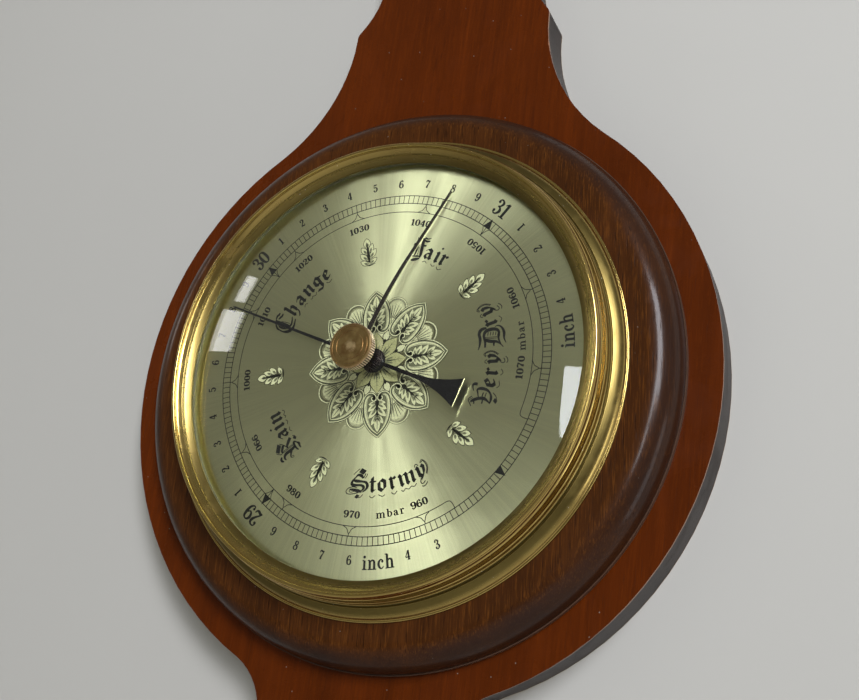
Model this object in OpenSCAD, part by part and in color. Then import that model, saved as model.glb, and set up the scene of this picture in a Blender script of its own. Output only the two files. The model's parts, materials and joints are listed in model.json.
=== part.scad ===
// Wall barometer in a banjo shaped case: a veneered board with a turned wooden ring,
// a stepped brass bezel, a domed glass with a set hand, and an aneroid movement
// behind the dial. Millimetres. The hanger hole is the origin, +Z runs up the neck,
// the dial faces -Y and the wall is the plane y = 0.

/* [Board] */
// Radius of the round body
body_r = 100; // [96:0.5:110]
// Thickness of the wooden core
core_t = 14.4; // [12:0.2:20]
// Thickness of the face veneer
veneer_t = 0.6; // [0.4:0.1:1.2]
// Half width of the neck where it leaves the round body
neck_root_w = 36.4; // [32:0.2:42]
// Height of that place above the dial centre
neck_root_h = 127; // [122:1:132]
// Half width of the slim part of the neck
neck_w = 28; // [24:0.2:30]
// Height where the slim part begins
neck_low_h = 150; // [146:1:158]
// Height where the slim part ends
neck_high_h = 305; // [295:1:315]
// Half width of the head
head_w = 36; // [32:0.5:42]
// Height of the head's widest place
head_h = 332; // [326:1:340]
// Half width of the crest, which is also its end radius
crest_w = 14; // [10:0.5:18]
// Height of the crest's round end centre
crest_h = 374; // [366:1:384]
// Half width of the tail where it leaves the round body
tail_root_w = 31; // [27:0.5:36]
// Depth of that place below the dial centre
tail_root_h = 108; // [105:1:112]
// Half width of the tail's tip, which is also its end radius
tip_w = 9; // [6:0.5:13]
// Depth of the tip's round end centre below the dial centre
tip_h = 140; // [134:1:150]
// Radius of the round shoulders along the outline
shoulder_r = 4; // [3:0.5:6]
// Radius of the hole for the instrument
case_hole_r = 60.5; // [60:0.1:62]

/* [Turned ring] */
// Outer radius of the turned ring
ring_r = 90.4; // [88:0.2:94]
// Height of the ring from the veneer to its flat top
ring_t = 10.6; // [10:0.1:13]
// Radius of the ring's round-over
ring_round_r = 8.6; // [6:0.1:9]
// Width of the small step at the foot of the round-over
ring_quirk_w = 0.4; // [0.2:0.1:1]

/* [Bezel and glass] */
// Width of the bezel's slope, from the lip that frames the glass to the crest
slope_w = 4.5; // [3.8:0.1:5.2]
// Width of the raised rim's outer wall, from the crest to its foot
rim_w = 1.9; // [1.5:0.1:2.4]
// Width of the bezel's flange, from the rim's foot to the edge
flange_w = 4.7; // [4:0.1:6]
// Height of the crest above the dial face
crest_ring_h = 7.6; // [6.6:0.1:9]
// Radius of the lip that frames the glass
lip_r = 65.2; // [64:0.1:65.6]
// Thickness of the spun brass
brass_t = 0.9; // [0.7:0.1:1.2]
// Height of the domed glass above the dial face, at its middle
dome_h = 14.3; // [13.9:0.1:16]
// Height of the glass above the dial face, where the lip frames it
dome_edge_h = 3; // [2.6:0.1:3.6]
// Thickness of the glass
glass_t = 1.6; // [1.2:0.1:2]
// Radius of the hole in the glass
glass_hole_r = 3; // [2.4:0.1:4]

/* [Dial and hands] */
// Height of the dial face above the wall
dial_h = 30; // [29:0.1:32]
// Width of the dial's edge that the lip hides
dial_hidden_w = 1.6; // [1.2:0.1:2]
// Thickness of the dial plate
dial_t = 0.8; // [0.5:0.1:1.2]
// Radius of the hole in the dial for the arbor
dial_hole_r = 2.2; // [1.8:0.1:3]
// Where the indicating hand stands, degrees left of the neck's line
hand_turn = 72; // [0:1:180]
// Length of the indicating hand from the centre to its point
hand_len = 57.3; // [50:0.1:60]
// Length of the indicating hand's tail
tail_len = 30.6; // [26:0.1:36]
// Half width of the tail's flared end
tail_half_w = 4.5; // [3:0.1:6]
// Radius where the tail begins to flare
flare_start = 14; // [10:0.5:18]
// Half width of the hand beside its boss
hand_half_w = 0.6; // [0.5:0.02:1]
// Half width of the hand at its point
point_half_w = 0.28; // [0.2:0.02:0.4]
// Thickness of the indicating hand
hand_t = 0.5; // [0.3:0.1:0.6]
// Gap between the dial face and the indicating hand
hand_lift = 2.3; // [1.6:0.1:2.3]
// Radius of the hand's boss
boss_r = 3.8; // [3:0.1:4.5]
// Where the set hand stands, degrees right of the neck's line
set_turn = 19; // [0:1:180]
// Length of the set hand
set_len = 57; // [50:0.5:59]
// Half width of the set hand near its boss
set_half_w = 0.78; // [0.5:0.02:1]
// Half width of the set hand at its end
set_end_half_w = 0.45; // [0.3:0.02:0.6]
// Thickness of the set hand
set_t = 0.35; // [0.25:0.05:0.5]
// Gap between the dial face and the set hand's end
set_end_lift = 3.1; // [3.1:0.05:3.4]
// Distance from the centre at which the set hand begins to bend down
bend_start = 8; // [5:0.5:10]
// Distance from the centre at which the bend ends and the hand runs straight
bend_end = 32; // [28:0.5:36]
// Radius of the set knob
knob_r = 6.9; // [6:0.1:9]
// Height of the set knob
knob_t = 3.1; // [2.6:0.1:5]
// Number of flutes round the knob
knob_flutes = 60; // [48:4:72]
// Radius of the knob's spindle
spindle_r = 1.4; // [1:0.1:2]

/* [Case of the movement] */
// Inner radius of the pressed steel drum
drum_r = 59; // [58:0.1:59.4]
// Thickness of the drum's sheet
drum_t = 0.8; // [0.6:0.1:1.2]
// Gap between the wall and the back of the drum
drum_gap = 2; // [1.8:0.1:3]
// Width by which the drum's flange reaches past the foot of the bezel's rim
drum_flange_past = 1.4; // [0.6:0.1:2]
// Thickness of the drum clips
clip_t = 1.2; // [1:0.1:1.4]
// Width of the drum clips
clip_w = 10; // [8:0.5:14]
// Radius at which the clip screws stand
clip_screw_at = 55; // [54.5:0.5:56]

/* [Movement] */
// Radius of the movement's base plate
plate_r = 51; // [50:0.5:52]
// Thickness of the movement's base plate
plate_t = 1.5; // [1.2:0.1:2]
// Outer radius of the aneroid capsule
capsule_r = 22; // [18:0.5:23]
// Height from the base plate to the capsule's seam
seam_h = 4.6; // [4:0.1:5]
// Gap at the capsule's seam, which lets its top half breathe
seam_gap = 0.7; // [0.6:0.05:1]
// Thickness of the capsule's sheet
capsule_t = 0.5; // [0.4:0.05:0.7]
// Height of the capsule's rings, crest to trough
corrugation_h = 0.8; // [0.5:0.05:1.1]
// Distance from the dial centre to the main spring's hinge line
spring_reach = 26; // [25:0.5:28]
// Height of the main spring's middle above the wall
spring_h = 14; // [13.6:0.1:14.4]
// Thickness of the main spring
spring_t = 0.8; // [0.6:0.1:1]
// Width of the main spring
spring_w = 16; // [12:0.5:20]
// Height of the lower bridge plate above the wall
low_bridge_h = 20; // [19.8:0.1:20.2]
// Height of the upper bridge plate above the wall
high_bridge_h = 26; // [25.9:0.1:26.2]
// Thickness of the bridge plates
bridge_t = 1.2; // [1:0.1:1.4]
// Radius of the bridge pillars
pillar_r = 2.2; // [1.8:0.1:3]
// Gear module, the pitch diameter for each tooth
tooth_module = 0.4; // [0.36:0.01:0.42]
// Teeth on the pinion
pinion_teeth = 12; // [12:1:14]
// Teeth on a full turn of the sector's pitch circle
sector_full_teeth = 120; // [116:1:124]
// Teeth on each side of the sector's middle tooth
sector_side_teeth = 8; // [8:1:9]
// Radius of the pivots of the arbors
pivot_r = 0.5; // [0.4:0.05:0.7]
// Radius of the arbors between their pivots
arbor_r = 0.9; // [0.8:0.05:1.1]
// Distance from the sector's arbor to its tail pin
tail_pin_at = 3.4; // [3.2:0.1:3.8]
// Height of the rocker's shaft above the wall
rocker_h = 18; // [17.8:0.1:18.2]
// Radius of the rocker's shaft
rocker_r = 0.8; // [0.6:0.05:0.9]
// Length of the rocker's crank
crank_len = 4; // [3.5:0.1:4.5]
// Turns of the hairspring
hair_turns = 5; // [4:1:6]

/* [Thermometer] */
// Thickness of the straps that hold the tube
strap_t = 0.5; // [0.3:0.1:0.8]
// Length of the straps along the tube
strap_len = 3; // [2:0.5:5]
// Width of each foot of a strap
strap_foot_w = 3; // [2:0.5:5]
// Distance from each strap to the tube's nearer end
strap_at = 12; // [8:1:20]
// Half width of the thermometer's scale plate
scale_half_w = 15; // [12:0.5:18]
// Height of the scale plate's lower edge above the dial centre
scale_low_h = 166; // [160:1:175]
// Length of the scale plate
scale_len = 124; // [110:1:128]
// Thickness of the scale plate
scale_t = 0.8; // [0.5:0.1:1.2]
// Outer radius of the thermometer's tube
tube_r = 2.6; // [2:0.1:3.5]
// Radius of the thermometer's bore
tube_bore_r = 0.7; // [0.5:0.1:1]
// Radius of the thermometer's bulb
bulb_r = 3.6; // [3.4:0.1:4.5]
// Length of the liquid's column above the bulb
liquid_len = 58; // [30:1:90]

/* [Hanger] */
// Height of the hanger's hole above the head's widest place
hanger_rise = 2; // [-4:1:6]
// Radius of the hanger's round hole
hanger_hole_r = 4.5; // [3.5:0.1:6]
// Half width of the hanger's slot
hanger_slot_w = 2.3; // [2.1:0.1:3]
// Length of the slot above the round hole's centre
hanger_slot_len = 9; // [8:0.5:11]
// Thickness of the hanger plate
hanger_t = 1.5; // [1:0.1:2]
// Depth of the space for the wall screw's head behind the plate
hanger_recess = 6.5; // [5:0.1:8]

/* [Fits] */
// Clearance round a turning arbor or spindle
turn_clear = 0.05; // [0.02:0.01:0.1]
// Clearance between pieces that move past each other
move_clear = 0.3; // [0.2:0.05:0.35]
// Clearance between a seated piece and its pocket
seat_clear = 0.3; // [0.2:0.05:0.5]

/* [Hidden] */
$fn = 96;

// Small step used where one shape has to run past another.
past = 1;
// Depth by which two arcs that meet run into each other.
merge = 0.02;

// Radii of the bezel and of what it covers.
crest_ring_r = lip_r + slope_w;
rim_foot_r = crest_ring_r + rim_w;
bezel_r = rim_foot_r + flange_w;
dial_r = lip_r + dial_hidden_w;
drum_flange_r = rim_foot_r + drum_flange_past;

// Height of the hanger's hole above the dial centre, which places the whole case.
hanger_h = head_h + hanger_rise;

// Places along the depth, measured from the wall.
front_h = core_t + veneer_t;
ring_top_h = front_h + ring_t;
drum_back_top = drum_gap + drum_t;
plate_top = drum_back_top + plate_t;
drum_flange_h = ring_top_h - drum_t;
drum_outer_r = drum_r + drum_t;

// The glass is part of a sphere through its middle and the lip's circle.
dome_sag = dome_h - dome_edge_h;
dome_r = (lip_r * lip_r + dome_sag * dome_sag) / (2 * dome_sag);
dome_centre_h = dial_h + dome_h - dome_r;
glass_r = dial_r + 0.4;
glass_top_h = dial_h + dome_h;
function dome_at(r, sphere_r) = dome_centre_h + sqrt(sphere_r * sphere_r - r * r);

// Bezel heights.
skirt_r = glass_r + seat_clear;
flange_low_h = ring_top_h;
rim_foot_h = dial_h - 0.4;

// Set hand parts, from the glass inwards.
bush_flange_r = glass_hole_r + 1.5;
bush_flange_t = 0.4;
bush_r = spindle_r + turn_clear;
glass_under_h = dome_at(bush_flange_r, dome_r - glass_t);
nut_t = 0.5;
set_boss_top = glass_under_h - nut_t - 0.1;
set_boss_t = 0.5;
set_boss_r = 2.8;
set_nut_t = 0.7;
knob_low_h = glass_top_h + bush_flange_t + 0.1;
knob_chamfer = 0.4;
flute_depth = 0.12;
knob_ring_places = [knob_r - 1.2, knob_r - 2.6];

// The set hand's bend brings its straight end to its lift above the dial.
arch_high = set_boss_top - set_t;
arch_drop = arch_high - (dial_h + set_end_lift);
bend_run = bend_end - bend_start;
bend_r = bend_run * (bend_run / 2 + set_len - bend_end) / arch_drop;

// Indicating hand heights.
hand_low_h = dial_h + hand_lift;
boss_low_h = hand_low_h - 0.5;
boss_top_h = hand_low_h + hand_t + 0.8;
hand_eye_r = 1.7;

// Gear train: the sector's arbor stands below the dial centre.
pinion_r = tooth_module * pinion_teeth / 2;
sector_r = tooth_module * sector_full_teeth / 2;
sector_drop = pinion_r + sector_r;
gear_low_h = low_bridge_h + bridge_t + 2.3;
gear_t = 1;
pinion_t = 1.6;
pressure_angle = 20;
addendum = 0.85 * tooth_module;
dedendum = 1.15 * tooth_module;
backlash = 0.09;
tail_pin_r = 0.5;
tail_pin_len = 1.6;

// Rocker places.
arm_half_w = 0.45;
rocker_x = -(tail_pin_r + 0.16 + arm_half_w);
rocker_arm_y = -(sector_drop + tail_pin_at);
crank_y = rocker_arm_y - 5.7;
crank_x = rocker_x + crank_len;
rocker_end_low = crank_y - 3.2;
rocker_end_high = -(sector_drop - 3.4);
ear_t = 1;
ear_low_h = rocker_h - 1.5;
link_r = 0.4;
link_clear = 0.17;
link_y = crank_y - 1.5;

// Main spring.
lever_end_y = link_y;
spring_free_y = -13;
rivet_places = [spring_free_y + 2.5, spring_free_y + 5.5];
rivet_r = 0.6;
cap_len = 12;
cap_low_h = spring_h - spring_t / 2 - 0.1;
cap_slot_t = spring_t + 0.2;
post_r = 1.6;
post_foot_gap = 0.35;
post_top = spring_h + spring_t / 2 + 1.6;

// Bridge pillar places.
pillar_x = 26;
pillar_high_y = 12;
pillar_low_y = -(sector_drop + 11);
bridge_margin = 3.4;
pillar_places = [[pillar_x, pillar_high_y], [-pillar_x, pillar_high_y],
    [pillar_x, pillar_low_y], [-pillar_x, pillar_low_y]];

// Screws of the movement and its case.
screw_r = 1.5;
screw_head_r = 2.8;
screw_head_t = 0.7;
hanger_screw_low = 0.1;
hanger_screw_end = hanger_t + 7;
small_screw_r = 0.9;
small_head_r = 1.8;
base_screw_at = plate_r - 7;
adjuster_r = 2.4;
adjuster_head_r = 3.6;
vent_at = 18;
vent_r = 1.5;
rebate_r = drum_flange_r - 1;

// Hairspring.
collet_r = 2;
hair_in_r = collet_r + 0.35;
hair_out_r = 8.2;
hair_w = 0.2;
hair_low_h = low_bridge_h + bridge_t + 0.8;
hair_t = 0.6;
stud_r = 0.7;
stud_x = hair_out_r + hair_w + stud_r;

// Thermometer places.
scale_top_h = front_h + scale_t;
tube_axis_h = scale_top_h + bulb_r + 0.1;
bulb_y = scale_low_h + 15;
bulb_wall = 0.7;
tube_top_y = scale_low_h + scale_len - 12;

// Puts a piece drawn flat, with +Y up the neck and +Z towards the viewer, on the wall.
module on_wall() {
    translate([0, 0, -hanger_h])
        rotate([90, 0, 0])
            children();
}

module both_sides() {
    children();
    mirror([1, 0, 0])
        children();
}

module tube_ring(outer, inner, low, high) {
    translate([0, 0, low])
        difference() {
            cylinder(r = outer, h = high - low, $fn = 180);
            translate([0, 0, -past])
                cylinder(r = inner, h = high - low + 2 * past, $fn = 180);
        }
}

module rod(r, low, high) {
    translate([0, 0, low])
        cylinder(r = r, h = high - low, $fn = 48);
}

module three_times(first = 0) {
    for (k = [0:2])
        rotate(first + 120 * k)
            children();
}

// Half of a curve that runs from a wide place to a narrow one further up: a round
// shoulder that turns into a hollow, each arc touching the next.
module ogee_half(wide, wide_h, narrow, narrow_h, round_r) {
    step = wide - narrow;
    rise = narrow_h - wide_h;
    both_r = (step * step + rise * rise) / (2 * step);
    hollow_r = both_r - round_r;
    shoulder = [wide - round_r, wide_h];
    hollow = [narrow + hollow_r, narrow_h];
    touch = shoulder + (hollow - shoulder) * round_r / both_r;
    translate(shoulder)
        circle(r = round_r + merge);
    difference() {
        polygon([[-past, wide_h - past], [wide - round_r, wide_h - past], touch, hollow,
            [narrow, narrow_h], [-past, narrow_h]]);
        translate(hollow)
            circle(r = hollow_r + merge);
    }
}

// Half of the hollow between the round body and a strip of half width w that
// begins at height h.
module root_half(w, h) {
    hollow_r = (w * w + h * h - body_r * body_r) / (2 * (body_r - w));
    hollow = [w + hollow_r, h];
    touch = hollow * body_r / norm(hollow);
    difference() {
        polygon([[-past, 0], touch, hollow, [w, h], [-past, h]]);
        translate(hollow)
            circle(r = hollow_r + merge);
    }
}

module board_outline() {
    circle(r = body_r, $fn = 180);
    both_sides() {
        root_half(neck_root_w, neck_root_h);
        ogee_half(neck_root_w, neck_root_h, neck_w, neck_low_h, shoulder_r);
        translate([0, neck_high_h + head_h])
            mirror([0, 1])
                ogee_half(head_w, neck_high_h, neck_w, head_h, shoulder_r);
        ogee_half(head_w, head_h, crest_w, crest_h, shoulder_r);
        mirror([0, 1]) {
            root_half(tail_root_w, tail_root_h);
            ogee_half(tail_root_w, tail_root_h, tip_w, tip_h, shoulder_r);
        }
    }
    translate([-neck_w, neck_low_h - 3])
        square([2 * neck_w, neck_high_h - neck_low_h + 6]);
    translate([0, crest_h])
        circle(r = crest_w);
    translate([0, -tip_h])
        circle(r = tip_w);
}

module keyhole_outline() {
    circle(r = hanger_hole_r);
    translate([-hanger_slot_w, 0])
        square([2 * hanger_slot_w, hanger_slot_len]);
    translate([0, hanger_slot_len])
        circle(r = hanger_slot_w);
}

hanger_half_w = hanger_hole_r + 6.5;
hanger_top = hanger_slot_len + hanger_slot_w + 6;
hanger_low = hanger_hole_r + 6;
hanger_screw_x = 7;
hanger_screw_y = [hanger_top - 3.5, -(hanger_low - 3)];

module backboard() {
    color([0.29, 0.25, 0.24])
        on_wall()
            difference() {
                linear_extrude(core_t)
                    board_outline();
                translate([0, 0, -past])
                    cylinder(r = case_hole_r, h = core_t + 2 * past, $fn = 180);
                translate([0, 0, -past])
                    cylinder(r = rebate_r, h = drum_gap + past, $fn = 180);
                translate([0, hanger_h, 0]) {
                    translate([-hanger_half_w - seat_clear, -hanger_low - seat_clear, -past])
                        cube([2 * (hanger_half_w + seat_clear), hanger_low + hanger_top + 2 * seat_clear,
                            hanger_t + past]);
                    translate([0, 0, hanger_t - 0.01])
                        linear_extrude(hanger_recess)
                            union() {
                                circle(r = hanger_hole_r + 1);
                                translate([-hanger_hole_r - 1, 0])
                                    square([2 * (hanger_hole_r + 1), hanger_slot_len]);
                                translate([0, hanger_slot_len])
                                    circle(r = hanger_hole_r + 1);
                            }
                    for (y = hanger_screw_y)
                        translate([hanger_screw_x * sign(y), y, 0])
                            rod(screw_r, 0, hanger_screw_end);
                }
            }
}

module front_veneer() {
    color([0.36, 0.13, 0.05])
        on_wall()
            translate([0, 0, core_t])
                difference() {
                    linear_extrude(veneer_t)
                        board_outline();
                    translate([0, 0, -past])
                        cylinder(r = case_hole_r, h = veneer_t + 2 * past, $fn = 180);
                    for (y = scale_screw_places)
                        translate([0, y, -past])
                            cylinder(r = small_screw_r, h = veneer_t + 2 * past, $fn = 48);
                }
}

module hanger_plate() {
    color([0.72, 0.58, 0.30])
        on_wall()
            translate([0, hanger_h, 0])
                difference() {
                    linear_extrude(hanger_t)
                        difference() {
                            translate([-hanger_half_w, -hanger_low])
                                square([2 * hanger_half_w, hanger_low + hanger_top]);
                            keyhole_outline();
                        }
                    for (y = hanger_screw_y)
                        translate([hanger_screw_x * sign(y), y, -past])
                            cylinder(r = screw_r, h = hanger_t + 2 * past, $fn = 48);
                }
}

module hanger_screws() {
    color([0.62, 0.60, 0.56])
        on_wall()
            translate([0, hanger_h, 0])
                for (y = hanger_screw_y)
                    translate([hanger_screw_x * sign(y), y, 0])
                        rod(screw_r, hanger_screw_low, hanger_screw_end - hanger_screw_low);
}

// The ring has a flat top, a quarter round-over and a small plain foot. A rebate
// round its bore takes the drum's flange.
module turned_ring() {
    round_in = ring_r - ring_quirk_w - ring_round_r;
    rebate_out = drum_flange_r + seat_clear;
    color([0.22, 0.11, 0.06])
        on_wall()
            rotate_extrude($fn = 180)
                difference() {
                    union() {
                        translate([case_hole_r, front_h])
                            square([round_in - case_hole_r, ring_t]);
                        translate([case_hole_r, front_h])
                            square([ring_r - case_hole_r, ring_t - ring_round_r]);
                        intersection() {
                            translate([round_in, ring_top_h - ring_round_r])
                                circle(r = ring_round_r);
                            translate([case_hole_r, front_h])
                                square([ring_r - case_hole_r, ring_t]);
                        }
                    }
                    translate([case_hole_r - past, ring_top_h - drum_t])
                        square([rebate_out - case_hole_r + past, drum_t + past]);
                }
}

module movement_drum() {
    color([0.56, 0.57, 0.58])
        on_wall()
            difference() {
                union() {
                    translate([0, 0, drum_gap])
                        cylinder(r = drum_outer_r, h = drum_flange_h + drum_t - drum_gap, $fn = 180);
                    translate([0, 0, drum_flange_h])
                        cylinder(r = drum_flange_r, h = drum_t, $fn = 180);
                }
                translate([0, 0, drum_back_top])
                    cylinder(r = drum_r, h = ring_top_h, $fn = 180);
                rod(adjuster_head_r + 0.8, 0, drum_back_top + past);
                translate([0, vent_at, 0])
                    rod(vent_r, 0, drum_back_top + past);
                three_times(90)
                    translate([clip_screw_at, 0, 0])
                        rod(screw_r, 0, drum_back_top + past);
                three_times(30)
                    translate([base_screw_at, 0, 0])
                        rod(screw_r, 0, drum_back_top + past);
            }
}

module drum_clips() {
    clip_in = clip_screw_at - 5;
    clip_out = rebate_r - 1.5;
    color([0.70, 0.70, 0.68])
        on_wall()
            three_times(90)
                difference() {
                    translate([clip_in, -clip_w / 2, drum_gap - clip_t])
                        cube([clip_out - clip_in, clip_w, clip_t]);
                    translate([clip_screw_at, 0, 0])
                        rod(screw_r, -past, drum_gap + past);
                }
}

module slotted_screw(r, head_r, head_t, low, high) {
    difference() {
        union() {
            rod(r, low, high);
            rod(head_r, low - head_t, low);
        }
        translate([-head_r, -head_r * 0.12, low - head_t - past])
            cube([2 * head_r, head_r * 0.24, past + head_t * 0.5]);
    }
}

module clip_screws() {
    color([0.75, 0.66, 0.40])
        on_wall()
            three_times(90)
                translate([clip_screw_at, 0, 0])
                    slotted_screw(screw_r, screw_head_r, screw_head_t, drum_gap - clip_t,
                        drum_back_top + 2.5);
}

// Points along an arc about c from angle a0 to a1.
function arc_points(c, r, a0, a1, steps) =
    [for (k = [0:steps]) let (a = a0 + (a1 - a0) * k / steps) c + r * [cos(a), sin(a)]];

// The bezel's section runs up the flange, over the beaded crest and down the inner
// slope in two bands to the lip, then back along the inside of the sheet.
module bezel() {
    edge_t = 0.4;
    groove_w = 0.5;
    bead_r = 0.6;
    crest_top = dial_h + crest_ring_h;
    lip_low = dome_at(lip_r, dome_r) + 0.08;
    band_r = crest_ring_r - 2.4;
    band_h = crest_top - 2.4;
    flange_mid_r = (bezel_r + rim_foot_r + groove_w) / 2;
    flange_mid_h = (flange_low_h + edge_t + rim_foot_h) / 2 + 0.35;
    outside = [[bezel_r, flange_low_h], [bezel_r, flange_low_h + edge_t],
        [bezel_r - 0.4, flange_low_h + 0.7], [flange_mid_r, flange_mid_h],
        [rim_foot_r + groove_w, rim_foot_h - 0.4], [rim_foot_r + groove_w / 2, rim_foot_h - 0.6],
        [rim_foot_r, rim_foot_h], [rim_foot_r - 0.1, rim_foot_h + 0.9],
        [crest_ring_r + 2 * bead_r, crest_top - 3.1], [crest_ring_r + bead_r + 0.15, crest_top - 1.2]];
    slope = [[crest_ring_r - bead_r - 0.1, crest_top - 0.9], [crest_ring_r - bead_r - 0.25, crest_top - 0.8],
        [band_r + 0.1, band_h + 0.1], [band_r - 0.1, band_h - 0.2], [lip_r + 0.3, lip_low + 0.5],
        [lip_r, lip_low + 0.22], [lip_r, lip_low]];
    inside = [[skirt_r, dome_at(skirt_r, dome_r) + 0.12], [skirt_r, flange_low_h],
        [skirt_r + brass_t, flange_low_h], [skirt_r + brass_t, dial_h + dome_edge_h - 0.2],
        [crest_ring_r, crest_top - bead_r - brass_t],
        [rim_foot_r - 0.6 - brass_t, crest_top - 3.2], [rim_foot_r - 0.2 - brass_t, rim_foot_h - brass_t],
        [bezel_r - 2.2 * brass_t, flange_low_h]];
    color([0.80, 0.66, 0.33])
        on_wall()
            rotate_extrude($fn = 180)
                polygon(concat(outside,
                    arc_points([crest_ring_r, crest_top - bead_r], bead_r, 0, 180, 8), slope, inside));
}

module glass() {
    color([0.85, 0.90, 0.90, 0.35])
        on_wall()
            difference() {
                intersection() {
                    translate([0, 0, dome_centre_h])
                        sphere(r = dome_r, $fn = 180);
                    rod_wide(glass_r, dial_h, glass_top_h + past);
                }
                translate([0, 0, dome_centre_h])
                    sphere(r = dome_r - glass_t, $fn = 180);
                rod(glass_hole_r, dial_h - past, glass_top_h + past);
            }
}

module rod_wide(r, low, high) {
    translate([0, 0, low])
        cylinder(r = r, h = high - low, $fn = 180);
}

module glass_gasket() {
    gasket_in = lip_r + 0.5;
    under_in = dome_at(gasket_in, dome_r - glass_t);
    under_out = dome_at(dial_r, dome_r - glass_t);
    color([0.16, 0.15, 0.12])
        on_wall()
            rotate_extrude($fn = 180)
                polygon([[gasket_in, dial_h], [dial_r, dial_h], [dial_r, under_out - 0.02],
                    [gasket_in, under_in - 0.05]]);
}

module glass_bush() {
    color([0.72, 0.60, 0.34])
        on_wall()
            difference() {
                union() {
                    rod(glass_hole_r - turn_clear, glass_under_h - nut_t, glass_top_h);
                    rod(bush_flange_r, glass_top_h, glass_top_h + bush_flange_t);
                }
                rod(bush_r, glass_under_h - nut_t - past, glass_top_h + bush_flange_t + past);
            }
}

module bush_nut() {
    color([0.20, 0.18, 0.16])
        on_wall()
            tube_ring(bush_flange_r, glass_hole_r - turn_clear, glass_under_h - nut_t, glass_under_h);
}

module dial_spacer() {
    color([0.30, 0.29, 0.27])
        on_wall()
            tube_ring(dial_r, drum_outer_r, ring_top_h, dial_h - dial_t);
}

module dial_plate() {
    color([0.72, 0.71, 0.55])
        on_wall()
            tube_ring(dial_r, dial_hole_r, dial_h - dial_t, dial_h);
}

module base_plate() {
    color([0.74, 0.62, 0.36])
        on_wall()
            difference() {
                rod_wide(plate_r, drum_back_top, plate_top);
                rod(adjuster_r + turn_clear, drum_gap, plate_top + past);
                three_times(30)
                    translate([base_screw_at, 0, 0])
                        rod(screw_r, drum_gap, plate_top + past);
                for (p = pillar_places)
                    translate([p[0], p[1], 0])
                        rod(small_screw_r, drum_gap, plate_top + past);
            }
}

module base_plate_screws() {
    color([0.62, 0.60, 0.56])
        on_wall()
            three_times(30)
                translate([base_screw_at, 0, 0])
                    slotted_screw(screw_r, screw_head_r, screw_head_t, drum_gap, plate_top + 0.6);
}

module adjusting_screw() {
    color([0.78, 0.64, 0.34])
        on_wall()
            difference() {
                union() {
                    rod(adjuster_r, drum_gap, plate_top - 0.1);
                    rod(adjuster_head_r, drum_gap - 1, drum_back_top - 0.1);
                }
                translate([-adjuster_head_r - past, -0.45, drum_gap - 1 - past])
                    cube([2 * (adjuster_head_r + past), 0.9, past + 0.8]);
            }
}

// Wavy section of one capsule half, drawn on its seam plane and rising to its boss.
capsule_boss_r = 4;
capsule_crown = seam_h - seam_gap / 2 - 1.2;
wave_pitch = 4;
function capsule_wave(r) = capsule_crown * (1 - (r - capsule_boss_r) / (capsule_r - 2 - capsule_boss_r))
    + corrugation_h / 2 * (1 - cos(360 * (r - capsule_boss_r) / wave_pitch));

module capsule_half() {
    radii = [for (r = [capsule_boss_r:1:capsule_r - 2]) r];
    upper = [for (r = radii) [r, capsule_wave(r) + capsule_t]];
    lower = [for (k = [len(radii) - 1:-1:0]) [radii[k], max(capsule_wave(radii[k]), 0)]];
    rotate_extrude($fn = 120)
        polygon(concat([[0, capsule_crown + capsule_t]], upper, [[capsule_r, capsule_t], [capsule_r, 0]],
            lower, [[0, capsule_crown]]));
}

module capsule_base() {
    color([0.68, 0.60, 0.42])
        on_wall() {
            translate([0, 0, plate_top + seam_h - seam_gap / 2])
                mirror([0, 0, 1])
                    capsule_half();
            rod(capsule_boss_r, plate_top, plate_top + seam_h - seam_gap / 2 - capsule_crown);
        }
}

module capsule_top() {
    color([0.70, 0.62, 0.44])
        on_wall()
            translate([0, 0, plate_top + seam_h + seam_gap / 2])
                capsule_half();
}

module capsule_post() {
    post_foot = plate_top + seam_h + seam_gap / 2 + capsule_crown + capsule_t;
    pin_h = spring_h + spring_t / 2 + 0.7;
    color([0.66, 0.66, 0.64])
        on_wall() {
            rod(capsule_boss_r - 1, post_foot, spring_h - spring_t / 2 - post_foot_gap);
            rod(post_r, post_foot, post_top);
            translate([-4.5, 0, pin_h])
                rotate([0, 90, 0])
                    cylinder(r = 0.6, h = 9, $fn = 48);
        }
}

module spring_pillar() {
    color([0.74, 0.62, 0.36])
        on_wall()
            translate([-spring_w / 2 - 2, spring_reach - 1, plate_top])
                cube([spring_w + 4, cap_len, cap_low_h - plate_top]);
}

module spring_cap() {
    color([0.70, 0.58, 0.34])
        on_wall()
            difference() {
                translate([-spring_w / 2 - 2, spring_reach - 1, cap_low_h])
                    cube([spring_w + 4, cap_len, cap_slot_t + 2]);
                translate([-spring_w / 2 - 0.2, spring_reach - 2, cap_low_h - past])
                    cube([spring_w + 0.4, 4.2, cap_slot_t + past]);
                for (x = [-5, 5])
                    translate([x, spring_reach + cap_len - 5, 0])
                        rod(small_screw_r, cap_low_h - past, cap_low_h + cap_slot_t + 2 + past);
            }
}

module spring_cap_screws() {
    cap_top = cap_low_h + cap_slot_t + 2;
    color([0.62, 0.60, 0.56])
        on_wall()
            for (x = [-5, 5])
                translate([x, spring_reach + cap_len - 5, 0]) {
                    rod(small_screw_r, cap_low_h, cap_top);
                    rod(small_head_r, cap_top, cap_top + 0.8);
                }
}

module main_spring() {
    low = spring_h - spring_t / 2;
    color([0.35, 0.38, 0.44])
        on_wall()
            difference() {
                translate([-spring_w / 2, spring_free_y, low])
                    cube([spring_w, spring_reach + 1.6 - spring_free_y, spring_t]);
                rod(post_r + move_clear, low - past, low + spring_t + past);
                for (y = rivet_places)
                    translate([0, y, 0])
                        rod(rivet_r, low - past, low + spring_t + past);
            }
}

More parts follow.
